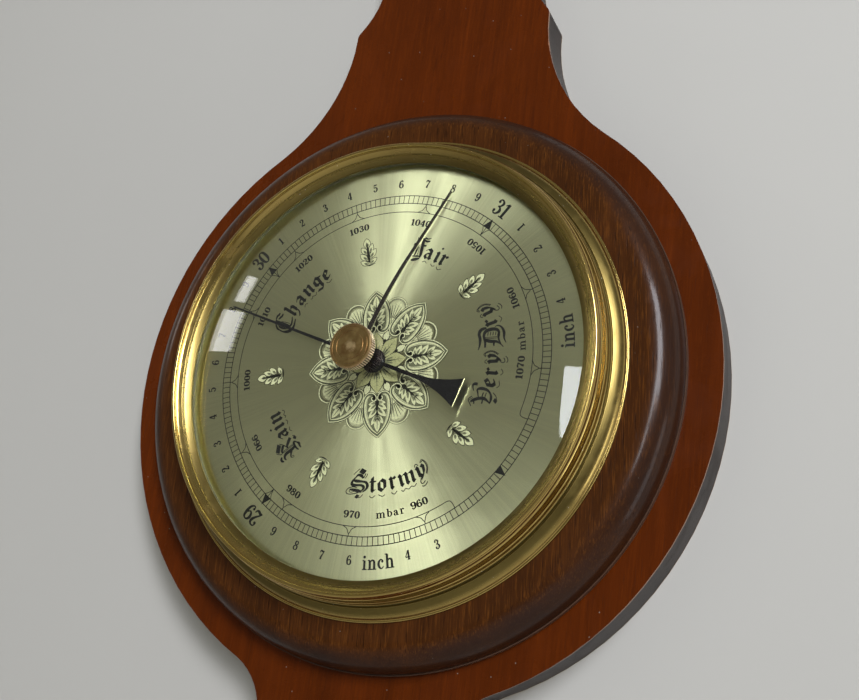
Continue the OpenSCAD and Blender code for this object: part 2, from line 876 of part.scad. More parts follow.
// The lever lies on the spring's free end and reaches out to the link.
module transfer_lever() {
    low = spring_h + spring_t / 2;
    reach = norm([crank_x, lever_end_y - spring_free_y]);
    lean = atan2(crank_x, spring_free_y - lever_end_y);
    color([0.60, 0.61, 0.62])
        on_wall() {
            translate([-3, spring_free_y, low])
                cube([6, 8, 0.8]);
            for (y = rivet_places)
                translate([0, y, 0])
                    rod(rivet_r, spring_h - spring_t / 2, low);
            translate([0, spring_free_y, low])
                rotate(180 + lean)
                    translate([-1.1, -1, 0])
                        cube([2.2, reach + 2, 0.8]);
        }
}

module lever_link() {
    foot = spring_h + spring_t / 2 + 0.8;
    color([0.66, 0.66, 0.64])
        on_wall() {
            translate([crank_x, link_y, 0])
                rod(link_r, foot, rocker_h + link_r);
            translate([crank_x, link_y, rocker_h])
                rotate([-90, 0, 0])
                    cylinder(r = link_r, h = 2.8, $fn = 48);
        }
}

module bridge_pillars() {
    color([0.76, 0.62, 0.34])
        on_wall()
            for (p = pillar_places)
                translate([p[0], p[1], 0]) {
                    rod(pillar_r, plate_top, low_bridge_h);
                    rod(small_screw_r, drum_back_top, plate_top);
                    tube_ring(pillar_r, small_screw_r, low_bridge_h + bridge_t, high_bridge_h);
                }
}

module bridge_plate(low) {
    half_w = pillar_x + bridge_margin;
    bottom = pillar_low_y - bridge_margin;
    top = pillar_high_y + bridge_margin;
    difference() {
        translate([-half_w, bottom, low])
            cube([2 * half_w, top - bottom, bridge_t]);
        for (p = pillar_places)
            translate([p[0], p[1], 0])
                rod(small_screw_r, low - past, low + bridge_t + past);
        rod(pivot_r + 0.3 + turn_clear, low - past, low + bridge_t + past);
        translate([0, -sector_drop, 0])
            rod(pivot_r + turn_clear, low - past, low + bridge_t + past);
    }
}

module lower_bridge() {
    window_y = rocker_arm_y - 1.7;
    color([0.78, 0.66, 0.38])
        on_wall()
            difference() {
                bridge_plate(low_bridge_h);
                translate([rocker_x - 2.4, window_y, low_bridge_h - past])
                    cube([4.8, 3.4, bridge_t + 2 * past]);
                translate([stud_x, 0, 0])
                    rod(stud_r, low_bridge_h - past, low_bridge_h + bridge_t + past);
            }
}

module upper_bridge() {
    color([0.78, 0.66, 0.38])
        on_wall()
            bridge_plate(high_bridge_h);
}

module bridge_screws() {
    top = high_bridge_h + bridge_t;
    color([0.62, 0.60, 0.56])
        on_wall()
            for (p = pillar_places)
                translate([p[0], p[1], 0]) {
                    rod(small_screw_r, low_bridge_h, top);
                    rod(small_head_r, top, top + 0.7);
                }
}

module rocker_bracket() {
    ear_w = 5.2;
    color([0.74, 0.62, 0.36])
        on_wall()
            for (y = [rocker_end_low, rocker_end_high - ear_t])
                difference() {
                    translate([rocker_x - ear_w / 2, y, ear_low_h])
                        cube([ear_w, ear_t, low_bridge_h - ear_low_h]);
                    translate([rocker_x, y - past, rocker_h])
                        rotate([-90, 0, 0])
                            cylinder(r = pivot_r + turn_clear, h = ear_t + 2 * past, $fn = 48);
                }
}

module rocker_shaft() {
    gap = 0.1;
    color([0.66, 0.67, 0.68])
        on_wall() {
            translate([rocker_x, rocker_end_low + ear_t + gap, rocker_h])
                rotate([-90, 0, 0])
                    cylinder(r = rocker_r, h = rocker_end_high - rocker_end_low - 2 * (ear_t + gap), $fn = 48);
            translate([rocker_x, rocker_end_low, rocker_h])
                rotate([-90, 0, 0])
                    cylinder(r = pivot_r, h = rocker_end_high - rocker_end_low, $fn = 48);
        }
}

module rocker_collar(y) {
    translate([rocker_x, y - 0.5, rocker_h])
        rotate([-90, 0, 0])
            cylinder(r = rocker_r + 0.7, h = 1, $fn = 48);
}

module rocker_bore() {
    translate([rocker_x, rocker_end_low, rocker_h])
        rotate([-90, 0, 0])
            cylinder(r = rocker_r, h = rocker_end_high - rocker_end_low, $fn = 48);
}

module rocker_crank() {
    color([0.74, 0.64, 0.40])
        on_wall()
            difference() {
                union() {
                    rocker_collar(crank_y);
                    translate([rocker_x, crank_y - 0.5, rocker_h - 0.9])
                        cube([crank_len + 1.1, 1, 1.8]);
                }
                rocker_bore();
                translate([crank_x, crank_y - past, rocker_h])
                    rotate([-90, 0, 0])
                        cylinder(r = link_r + link_clear, h = 2 * past, $fn = 48);
            }
}

module rocker_arm() {
    color([0.74, 0.64, 0.40])
        on_wall()
            difference() {
                union() {
                    rocker_collar(rocker_arm_y);
                    translate([rocker_x - arm_half_w, rocker_arm_y - 0.5, rocker_h])
                        cube([2 * arm_half_w, 1, gear_low_h - tail_pin_len + 0.8 - rocker_h]);
                }
                rocker_bore();
            }
}

// Points of one gear tooth, centred on the +X axis: both involute flanks and the tip.
function involute(base, roll) = base * sqrt(1 + pow(roll * PI / 180, 2));
function involute_turn(roll) = roll - atan(roll * PI / 180);
function roll_at(base, r) = sqrt(pow(r / base, 2) - 1) * 180 / PI;
function tooth_side(teeth, side) =
    let (pitch = tooth_module * teeth / 2)
    let (base = pitch * cos(pressure_angle))
    let (tip = pitch + addendum)
    let (root = pitch - dedendum)
    let (half = 90 / teeth - backlash / 2 / pitch * 180 / PI)
    let (shift = half + involute_turn(roll_at(base, pitch)))
    let (low = max(root, base))
    let (steps = 4)
    concat(root < base ? [[root, side * shift]] : [],
        [for (k = [0:steps])
            let (roll = roll_at(base, low + (tip - low) * k / steps))
            [involute(base, roll), side * (shift - involute_turn(roll))]]);
function reversed(list) = [for (k = [len(list) - 1:-1:0]) list[k]];
function tooth_points(teeth, turn) =
    [for (p = concat(tooth_side(teeth, -1), reversed(tooth_side(teeth, 1))))
        [p[0] * cos(p[1] + turn), p[0] * sin(p[1] + turn)]];

module sector_gear() {
    root = sector_r - dedendum;
    half_span = (sector_side_teeth + 0.5) * 360 / sector_full_teeth;
    rim_w = 2;
    teeth = [for (k = [-sector_side_teeth:sector_side_teeth])
        each tooth_points(sector_full_teeth, 90 + k * 360 / sector_full_teeth)];
    color([0.80, 0.67, 0.36])
        on_wall()
            translate([0, -sector_drop, 0]) {
                translate([0, 0, gear_low_h])
                    linear_extrude(gear_t)
                        difference() {
                            union() {
                                difference() {
                                    polygon(concat(teeth, [[0, 0]]));
                                    circle(r = root - rim_w);
                                }
                                for (side = [-1, 1])
                                    rotate(side * (half_span - 3))
                                        translate([-0.8, 0])
                                            square([1.6, root - rim_w / 2]);
                                circle(r = 2);
                                translate([-1, -tail_pin_at - 1])
                                    square([2, tail_pin_at]);
                            }
                            circle(r = arbor_r);
                        }
                translate([0, -tail_pin_at, 0])
                    rod(tail_pin_r, gear_low_h - tail_pin_len, gear_low_h);
            }
}

module sector_arbor() {
    gap = 0.1;
    color([0.66, 0.67, 0.68])
        on_wall()
            translate([0, -sector_drop, 0]) {
                rod(pivot_r, low_bridge_h - 0.1, high_bridge_h + bridge_t);
                rod(arbor_r, low_bridge_h + bridge_t + gap, high_bridge_h - gap);
            }
}

module centre_arbor() {
    gap = 0.1;
    centre_r = pivot_r + 0.3;
    teeth = [for (k = [0:pinion_teeth - 1])
        each tooth_points(pinion_teeth, 270 + (k + 0.5) * 360 / pinion_teeth)];
    color([0.74, 0.70, 0.55])
        on_wall() {
            rod(centre_r, low_bridge_h - 0.2, hand_low_h + hand_t);
            rod(collet_r - 0.8, low_bridge_h + bridge_t + gap, hair_low_h);
            translate([0, 0, gear_low_h - (pinion_t - gear_t) / 2])
                linear_extrude(pinion_t)
                    polygon(teeth);
        }
}

module hairspring_collet() {
    color([0.74, 0.62, 0.36])
        on_wall()
            tube_ring(collet_r, pivot_r + 0.3, hair_low_h, hair_low_h + hair_t + 0.4);
}

// A flat spiral strip from the collet to the stud.
module hairspring() {
    steps = 24 * hair_turns;
    growth = (hair_out_r - hair_in_r) / steps;
    side = function (offset) [for (k = [0:steps])
        (hair_in_r + growth * k + offset) * [cos(k * 15), sin(k * 15)]];
    color([0.30, 0.34, 0.45])
        on_wall()
            translate([0, 0, hair_low_h])
                linear_extrude(hair_t)
                    polygon(concat(side(0), reversed(side(hair_w))));
}

module hairspring_stud() {
    color([0.74, 0.62, 0.36])
        on_wall()
            translate([stud_x, 0, 0])
                rod(stud_r, low_bridge_h, hair_low_h + hair_t + 0.3);
}

// Outline of one side of the hand's flared tail, from the boss outwards.
function flare(t) = hand_half_w + (tail_half_w - hand_half_w) * pow(t, 2.1);

module hand_outline() {
    steps = 8;
    right = [for (k = [0:steps]) [flare(k / steps), -flare_start - (tail_len - flare_start) * k / steps]];
    polygon(concat([[point_half_w, hand_len - 1.2], [hand_half_w, boss_r], [hand_half_w, -boss_r]], right,
        [for (p = reversed(right)) [-p[0], p[1]]],
        [[-hand_half_w, -boss_r], [-hand_half_w, boss_r], [-point_half_w, hand_len - 1.2], [0, hand_len]]));
}

module indicating_hand() {
    color([0.06, 0.06, 0.07])
        on_wall()
            rotate(hand_turn)
                difference() {
                    union() {
                        translate([0, 0, hand_low_h])
                            linear_extrude(hand_t)
                                hand_outline();
                        rod(boss_r - 0.7, hand_low_h, hand_low_h + hand_t);
                    }
                    rod(hand_eye_r, hand_low_h - past, hand_low_h + hand_t + past);
                }
}

module hand_boss() {
    color([0.05, 0.05, 0.05])
        on_wall()
            difference() {
                union() {
                    rod(boss_r, boss_low_h, hand_low_h);
                    rod(hand_eye_r, hand_low_h, hand_low_h + hand_t);
                    rod(boss_r - 0.5, hand_low_h + hand_t, boss_top_h);
                    rod(boss_r - 1.8, boss_top_h, boss_top_h + 0.6);
                }
                rod(pivot_r + 0.3, boss_low_h - past, hand_low_h + hand_t);
            }
}

// Side view of one face of the set hand: level at the boss, a bend, then straight.
function set_hand_line(rise) =
    let (turned = asin((bend_end - bend_start) / bend_r))
    let (bend = arc_points([bend_start, arch_high - bend_r], bend_r + rise, 90, 90 - turned, 10))
    concat([[0, arch_high + rise]], bend, [bend[10] + (set_len - bend_end) * [1, -tan(turned)]]);

module set_hand() {
    taper = [[-set_half_w, 0], [-set_end_half_w, set_len], [set_end_half_w, set_len], [set_half_w, 0]];
    color([0.12, 0.10, 0.09])
        on_wall()
            rotate(-set_turn)
                difference() {
                    union() {
                        intersection() {
                            translate([0, 0, dial_h])
                                linear_extrude(dome_h)
                                    polygon(taper);
                            translate([-2, 0, 0])
                                rotate([90, 0, 90])
                                    linear_extrude(4)
                                        polygon(concat(set_hand_line(set_t), reversed(set_hand_line(0))));
                        }
                        rod(set_boss_r, set_boss_top - set_boss_t, set_boss_top);
                    }
                    rod(spindle_r, dial_h, glass_top_h);
                }
}

module set_spindle() {
    color([0.78, 0.64, 0.36])
        on_wall()
            rod(spindle_r, set_boss_top - set_boss_t - set_nut_t - 0.3, knob_low_h + 1.6);
}

module set_hand_nut() {
    nut_top = set_boss_top - set_boss_t;
    color([0.62, 0.52, 0.30])
        on_wall()
            tube_ring(2.3, spindle_r, nut_top - set_nut_t, nut_top);
}

// Fluted round knob with a small chamfer on both rims and two turned rings on top.
module set_knob() {
    rim = [for (k = [0:2 * knob_flutes - 1])
        (knob_r - (k % 2) * flute_depth) * [cos(180 * k / knob_flutes), sin(180 * k / knob_flutes)]];
    top = knob_low_h + knob_t;
    band_r = knob_r - 1.5 * flute_depth;
    color([0.50, 0.35, 0.16])
        on_wall()
            difference() {
                union() {
                    translate([0, 0, knob_low_h + knob_chamfer])
                        linear_extrude(knob_t - 2 * knob_chamfer)
                            polygon(rim);
                    translate([0, 0, knob_low_h])
                        cylinder(r1 = band_r - knob_chamfer, r2 = band_r, h = knob_chamfer);
                    translate([0, 0, top - knob_chamfer])
                        cylinder(r1 = band_r, r2 = band_r - knob_chamfer, h = knob_chamfer);
                }
                rod(spindle_r, knob_low_h - past, knob_low_h + 1.6);
                for (r = knob_ring_places)
                    tube_ring(r + 0.15, r - 0.15, top - 0.12, top + past);
            }
}

scale_screw_places = [scale_low_h + 5, scale_low_h + scale_len - 5];

module thermometer_scale() {
    color([0.72, 0.71, 0.58])
        on_wall()
            difference() {
                translate([-scale_half_w, scale_low_h, front_h])
                    cube([2 * scale_half_w, scale_len, scale_t]);
                for (y = scale_screw_places)
                    translate([0, y, 0])
                        rod(small_screw_r, front_h - past, scale_top_h + past);
            }
}

module along_tube(r, low, high) {
    translate([0, low, tube_axis_h])
        rotate([-90, 0, 0])
            cylinder(r = r, h = high - low, $fn = 48);
}

module thermometer_tube() {
    color([0.88, 0.92, 0.92, 0.4])
        on_wall()
            difference() {
                union() {
                    along_tube(tube_r, bulb_y, tube_top_y - tube_r);
                    translate([0, tube_top_y - tube_r, tube_axis_h])
                        sphere(r = tube_r, $fn = 60);
                    translate([0, bulb_y, tube_axis_h])
                        sphere(r = bulb_r, $fn = 60);
                }
                along_tube(tube_bore_r, bulb_y, tube_top_y - tube_r);
                translate([0, bulb_y, tube_axis_h])
                    sphere(r = bulb_r - bulb_wall, $fn = 60);
            }
}

module thermometer_liquid() {
    skin = 0.02;
    color([0.65, 0.08, 0.06])
        on_wall() {
            along_tube(tube_bore_r - skin, bulb_y, bulb_y + liquid_len);
            translate([0, bulb_y, tube_axis_h])
                sphere(r = bulb_r - bulb_wall - skin, $fn = 60);
        }
}

// Two straps that hold the tube to its scale.
module tube_clips() {
    half_l = strap_len / 2;
    strap_in = tube_r + turn_clear;
    strap_out = strap_in + strap_t;
    color([0.76, 0.62, 0.34])
        on_wall()
            for (y = [bulb_y + strap_at, tube_top_y - strap_at])
                translate([0, y - half_l, 0])
                    difference() {
                        union() {
                            translate([0, 0, tube_axis_h])
                                rotate([-90, 0, 0])
                                    cylinder(r = strap_out, h = 2 * half_l, $fn = 48);
                            translate([-strap_out, 0, scale_top_h])
                                cube([2 * strap_out, 2 * half_l, tube_axis_h - scale_top_h]);
                            translate([-strap_out - strap_foot_w, 0, scale_top_h])
                                cube([2 * (strap_out + strap_foot_w), strap_len, strap_t]);
                        }
                        translate([0, -past, tube_axis_h])
                            rotate([-90, 0, 0])
                                cylinder(r = strap_in, h = 2 * (half_l + past), $fn = 48);
                        translate([-strap_in, -past, scale_top_h - past])
                            cube([2 * strap_in, 2 * (half_l + past), tube_axis_h - scale_top_h + past]);
                    }
}

module scale_screws() {
    color([0.78, 0.64, 0.36])
        on_wall()
            for (y = scale_screw_places)
                translate([0, y, 0]) {
                    rod(small_screw_r, core_t, scale_top_h);
                    rod(small_head_r, scale_top_h, scale_top_h + 0.8);
                }
}

backboard();
front_veneer();
hanger_plate();
hanger_screws();
turned_ring();
movement_drum();
drum_clips();
clip_screws();
bezel();
glass();
glass_gasket();
glass_bush();
bush_nut();
dial_spacer();
dial_plate();
base_plate();
base_plate_screws();
adjusting_screw();
capsule_base();
capsule_top();
capsule_post();
spring_pillar();
spring_cap();
spring_cap_screws();
main_spring();
transfer_lever();
lever_link();
bridge_pillars();
lower_bridge();
upper_bridge();
bridge_screws();
rocker_bracket();
rocker_shaft();
rocker_crank();
rocker_arm();
sector_gear();
sector_arbor();
centre_arbor();
hairspring();
hairspring_collet();
hairspring_stud();
indicating_hand();
hand_boss();
set_hand();
set_spindle();
set_hand_nut();
set_knob();
thermometer_scale();
thermometer_tube();
thermometer_liquid();
tube_clips();
scale_screws();
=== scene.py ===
"""Looks of a banjo shaped wall barometer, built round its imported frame.

Everything is in metres in the frame's own axes: x to the right, z up the neck, and the dial
faces -y. Prints are drawn flat in millimetres from the dial's centre and then laid on the dial.
"""

import json
import math

import bpy
import numpy as np
from mathutils import Matrix, Vector


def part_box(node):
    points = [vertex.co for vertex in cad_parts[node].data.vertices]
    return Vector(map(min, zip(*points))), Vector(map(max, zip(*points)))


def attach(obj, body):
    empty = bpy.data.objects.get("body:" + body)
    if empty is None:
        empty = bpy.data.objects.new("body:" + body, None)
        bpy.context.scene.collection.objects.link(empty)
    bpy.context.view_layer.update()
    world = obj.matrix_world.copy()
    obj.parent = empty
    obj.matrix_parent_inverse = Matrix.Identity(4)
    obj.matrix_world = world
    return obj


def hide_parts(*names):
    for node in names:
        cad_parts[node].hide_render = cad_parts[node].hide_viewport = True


bl_info = {
    "name": "Banjo wall barometer",
    "version": (1, 0, 0),
    "blender": (4, 5, 0),
    "location": "View3D > Sidebar > Barometer",
    "description": "Finishes, dial print and studio for a wall barometer",
    "category": "Add Mesh",
}

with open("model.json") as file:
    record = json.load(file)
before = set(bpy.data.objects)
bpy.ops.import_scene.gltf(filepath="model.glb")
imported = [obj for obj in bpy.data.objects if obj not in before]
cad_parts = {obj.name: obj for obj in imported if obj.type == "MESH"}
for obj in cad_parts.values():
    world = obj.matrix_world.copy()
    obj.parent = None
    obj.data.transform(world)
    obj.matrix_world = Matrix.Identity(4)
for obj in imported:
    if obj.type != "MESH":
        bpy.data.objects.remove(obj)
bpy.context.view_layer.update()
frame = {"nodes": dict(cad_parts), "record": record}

DIAL_X, DIAL_Z = 0.0, -0.334
DIAL_CENTRE = (DIAL_X, 0.0, DIAL_Z)
DIAL_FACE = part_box("dial_plate")[0].y
SCALE_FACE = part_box("thermometer_scale")[0].y

# The print's layout in millimetres and degrees: its lean against the case, the radii of the
# track's two lines, of the inner line and of the millibar numbers, and both scales.
DIAL_LEAN = 9.7
TRACK_R = 55.0
TRACK_FOOT_R, INNER_R, MILLIBAR_R = 0.9527 * TRACK_R, 0.8998 * TRACK_R, 46.1
TRACK_PARTS = 200
INNER_ENDS = (152.8, 477.3)
FIRST_INCH, DEG_PER_INCH = 30.5, 90.0
MILLIBARS = range(960, 1071, 10)
FIRST_MILLIBAR, MILLIBAR_TURN, DEG_PER_MILLIBAR = 1020, -34.3, 2.703


# ---------------------------------------------------------------- settings


class BarometerFinish(bpy.types.PropertyGroup):
    """Colours of the finishes."""

    veneer_red: bpy.props.FloatVectorProperty(
        name="Veneer", description="Red brown of the face veneer", subtype="COLOR",
        default=(0.104, 0.0185, 0.0012))
    ring_brown: bpy.props.FloatVectorProperty(
        name="Turned ring", description="Dark brown of the turned ring", subtype="COLOR",
        default=(0.063, 0.0188, 0.0032))
    edge_brown: bpy.props.FloatVectorProperty(
        name="Board edge", description="Stain on the board's edge", subtype="COLOR",
        default=(0.031, 0.021, 0.0185))
    brass: bpy.props.FloatVectorProperty(
        name="Brass", description="Polished brass of the bezel", subtype="COLOR",
        default=(0.58, 0.42, 0.135))
    dial: bpy.props.FloatVectorProperty(
        name="Dial", description="Brushed metal of the dial", subtype="COLOR",
        default=(0.685, 0.682, 0.402))
    ink: bpy.props.FloatVectorProperty(
        name="Ink", description="Printing ink on the dial", subtype="COLOR",
        default=(0.010, 0.010, 0.008))
    pale_ink: bpy.props.FloatVectorProperty(
        name="Pale ink", description="Pale ink of the ornament", subtype="COLOR",
        default=(0.76, 0.755, 0.44))


class BarometerPrint(bpy.types.PropertyGroup):
    """Sizes of the print on the dial."""

    lift: bpy.props.FloatProperty(
        name="Ink height", description="Height of the ink above the dial's face",
        default=0.00002, min=0.00001, max=0.0001, unit="LENGTH")
    line: bpy.props.FloatProperty(
        name="Line", description="Width of the scale's lines", default=0.00026,
        min=0.00005, max=0.0004, unit="LENGTH")
    digit: bpy.props.FloatProperty(
        name="Digits", description="Height of the small digits", default=0.0027,
        min=0.0015, max=0.004, unit="LENGTH")
    whole_digit: bpy.props.FloatProperty(
        name="Whole inches", description="Height of the digits at the whole inches",
        default=0.0050, min=0.002, max=0.007, unit="LENGTH")


class BarometerStudio(bpy.types.PropertyGroup):
    """The floor, the wall, the lamps and the camera."""

    wall_grey: bpy.props.FloatVectorProperty(
        name="Wall", description="Colour of the wall and the floor", subtype="COLOR",
        default=(0.565, 0.555, 0.515))
    room_light: bpy.props.FloatProperty(
        name="Room light", description="Strength of the light from all round",
        default=0.19, min=0.0, max=2.0)
    window_light: bpy.props.FloatProperty(
        name="Window light", description="Power of the large soft lamp in watts",
        default=16.8, min=0.0, max=200.0)
    lens: bpy.props.FloatProperty(
        name="Lens", description="Focal length for a sensor 36 mm wide", default=43.48,
        min=10.0, max=200.0)


# ---------------------------------------------------------------- nodes

EFFECTS, FINISHES = {}, {}


def shade(colour, gain):
    """A colour made lighter or darker by one factor."""
    return tuple(part * gain for part in colour)


class Nodes:
    """Adds nodes to one tree. Every method but add gives the one output that is wanted."""

    def __init__(self, tree):
        self.tree = tree

    def add(self, kind, inputs=None, **settings):
        """Adds a node, sets its properties, sets or links its inputs by name or number, and gives
        its outputs."""
        node = self.tree.nodes.new(kind)
        for key, value in settings.items():
            setattr(node, key, value)
        for key, value in (inputs or {}).items():
            socket = node.inputs[key]
            if isinstance(value, bpy.types.NodeSocket):
                self.tree.links.new(value, socket)
            else:
                socket.default_value = (*value, 1.0) if socket.type == "RGBA" else value
        return node.outputs

    def maths(self, operation, a, b=0.0):
        return self.add("ShaderNodeMath", {0: a, 1: b}, operation=operation)[0]

    def times(self, a, b):
        return self.maths("MULTIPLY", a, b)

    def plus(self, a, b):
        return self.maths("ADD", a, b)

    def either(self, a, b):
        return self.maths("MAXIMUM", a, b)

    def within(self, value, limit):
        return self.maths("LESS_THAN", self.maths("ABSOLUTE", value), limit)

    def vector(self, operation, a, b):
        return self.add("ShaderNodeVectorMath", {0: a, 1: b}, operation=operation)[0]

    def grown(self, a, factor):
        return self.add("ShaderNodeVectorMath", {0: a, "Scale": factor}, operation="SCALE")[0]

    def length(self, a):
        return self.add("ShaderNodeVectorMath", {0: a}, operation="LENGTH")[1]

    def parts(self, a):
        return self.add("ShaderNodeSeparateXYZ", {0: a})

    def stretched(self, a, x, y, z):
        return self.vector("MULTIPLY", a, (x, y, z))

    def from_dial(self, a):
        """A place measured from the dial's centre."""
        return self.vector("SUBTRACT", a, DIAL_CENTRE)

    def ramp(self, value, low, high, low_to=0.0, high_to=1.0):
        """Maps low..high onto low_to..high_to with a soft start and end."""
        return self.add("ShaderNodeMapRange", {0: value, 1: low, 2: high, 3: low_to, 4: high_to},
                        interpolation_type="SMOOTHSTEP")[0]

    def fall(self, value, low, high, top=1.0):
        """Falls softly from top to 0 as the value goes from low to high."""
        return self.ramp(value, low, high, top, 0.0)

    def band(self, value, low, low_end, high, high_end):
        """1 between a soft rise from low to low_end and a soft fall from high to high_end."""
        return self.times(self.ramp(value, low, low_end), self.fall(value, high, high_end))

    def mix(self, factor, a, b, blend="MIX"):
        return self.add("ShaderNodeMix", {0: factor, 6: a, 7: b},
                        data_type="RGBA", blend_type=blend)[2]

    def noise(self, vector, scale, detail=2.0, rough=0.5, distortion=0.0):
        return self.add("ShaderNodeTexNoise", {
            "Vector": vector, "Scale": scale, "Detail": detail, "Roughness": rough,
            "Distortion": distortion})["Fac"]

    def shift_noise(self, vector, scale):
        """Noise with three parts, for pushing a pattern out of true."""
        return self.add("ShaderNodeTexNoise", {"Vector": vector, "Scale": scale})["Color"]

    def fibres(self, a, across, along, detail, rough=0.5, distortion=0.0):
        """Noise drawn out along z, with so many cells a metre across the grain and along it."""
        return self.noise(self.stretched(a, across, across, along), 1.0, detail, rough, distortion)


class Effect(Nodes):
    """A node group that several finishes share. Its inputs are named here with their first
    values: a tuple makes a colour, a number a value, and None a vector."""

    def __init__(self, name, **inputs):
        tree = bpy.data.node_groups.new(name, "ShaderNodeTree")
        super().__init__(tree)
        for label, first in inputs.items():
            kind = ("NodeSocketVector" if first is None else
                    "NodeSocketColor" if isinstance(first, tuple) else "NodeSocketFloat")
            socket = tree.interface.new_socket(label, in_out="INPUT", socket_type=kind)
            if first is not None:
                socket.default_value = (*first, 1.0) if isinstance(first, tuple) else first
        self.inputs = tree.nodes.new("NodeGroupInput").outputs
        EFFECTS[name] = tree

    def give(self, outputs):
        """Names what the group puts out, and links it."""
        for label, value in outputs.items():
            kind = "NodeSocketColor" if value.type == "RGBA" else "NodeSocketFloat"
            self.tree.interface.new_socket(label, in_out="OUTPUT", socket_type=kind)
        ends = self.tree.nodes.new("NodeGroupOutput").inputs
        for label, value in outputs.items():
            self.tree.links.new(value, ends[label])


def make_effects():
    """Builds the effects that several finishes share."""
    g = Effect("Wood figure", Vector=None, Light=(0.2, 0.1, 0.05), Dark=(0.1, 0.04, 0.02),
               Pore=(0.02, 0.01, 0.01), Fineness=1.0, Pores=0.5, Streaks=0.3)
    light, dark = g.inputs["Light"], g.inputs["Dark"]
    place = g.grown(g.inputs["Vector"], g.inputs["Fineness"])
    fibre = g.fibres(place, 620, 20, 4.0, 0.66, 0.3)
    body = g.mix(g.ramp(g.fibres(place, 34, 3.2, 5.0, 0.6, 1.4), 0.30, 0.72), dark, light)
    body = g.mix(g.fall(fibre, 0.36, 0.66, 0.5), body, dark)
    body = g.mix(g.ramp(g.fibres(place, 9, 6, 2.0), 0.35, 0.75, 0.0, 0.35), body, light)
    pale = g.times(g.ramp(g.fibres(place, 2300, 110, 3.0, 0.7), 0.50, 0.68), g.inputs["Streaks"])
    body = g.mix(pale, body, g.mix(1.0, light, (2.3, 2.6, 2.2), "MULTIPLY"))
    pore = g.noise(g.vector("ADD", g.stretched(place, 1900, 1900, 120), (7, 3, 5)), 1.0, 2.0, 0.6)
    mask = g.times(g.ramp(pore, 0.60, 0.70), g.inputs["Pores"])
    g.give({"Colour": g.mix(mask, body, g.inputs["Pore"]), "Pore mask": mask,
            "Height": g.maths("SUBTRACT", g.times(fibre, 0.35), mask)})

    g = Effect("Radial streaks", Vector=None, Fineness=1.0)
    flat = g.stretched(g.from_dial(g.inputs["Vector"]), 1, 0, 1)
    ray = g.add("ShaderNodeVectorMath", {0: flat}, operation="NORMALIZE")[0]
    turn = g.grown(ray, g.inputs["Fineness"])
    shift = g.add("ShaderNodeCombineXYZ", {1: g.times(g.length(flat), 9.0)})[0]
    places = (g.vector("ADD", g.stretched(turn, rays, rays, rays), shift) for rays in (130, 9))
    fine, broad = (g.noise(place, 1.0, 3.0, rough) for place, rough in zip(places, (0.7, 0.55)))
    g.give({"Streak": fine, "Broad": broad})

    g = Effect("Turned lines", Vector=None, Fineness=1.0)
    off = g.from_dial(g.inputs["Vector"])
    part = g.parts(off)
    reach = g.length(g.stretched(off, 1, 0, 1))
    lines = [g.times(g.times(way, 9000.0), g.inputs["Fineness"]) for way in (reach, part[1])]
    spot = g.add("ShaderNodeCombineXYZ", {0: lines[0], 1: lines[1], 2: g.times(part[0], 12.0)})[0]
    g.give({"Line": g.noise(spot, 1.0, 2.0, 0.6), "Reach": reach})

    g = Effect("Handling", Vector=None, Size=60.0)
    place = g.inputs["Vector"]
    crooked = g.vector("ADD", g.stretched(place, 60, 60, 34), g.shift_noise(place, 40.0))
    hair = g.add("ShaderNodeTexVoronoi", {"Vector": crooked, "Scale": 3.0},
                 feature="DISTANCE_TO_EDGE")[0]
    g.give({"Smudge": g.ramp(g.noise(place, g.inputs["Size"], 4.0, 0.6, 0.8), 0.42, 0.72),
            "Scratch": g.fall(hair, 0.0, 0.006)})

    g = Effect("Dust", Vector=None, Spacing=700.0, Share=0.1)
    place = g.inputs["Vector"]
    bent = g.vector("ADD", place, g.grown(g.shift_noise(place, 2600.0), 0.0005))
    cell = g.add("ShaderNodeTexVoronoi", {"Vector": bent, "Scale": g.inputs["Spacing"]})
    chance = g.add("ShaderNodeSeparateColor", {0: cell["Color"]})[0]
    kept = g.maths("LESS_THAN", chance, g.inputs["Share"])
    g.give({"Mask": g.times(g.fall(cell["Distance"], 0.10, 0.20), kept)})


# ---------------------------------------------------------------- finishes

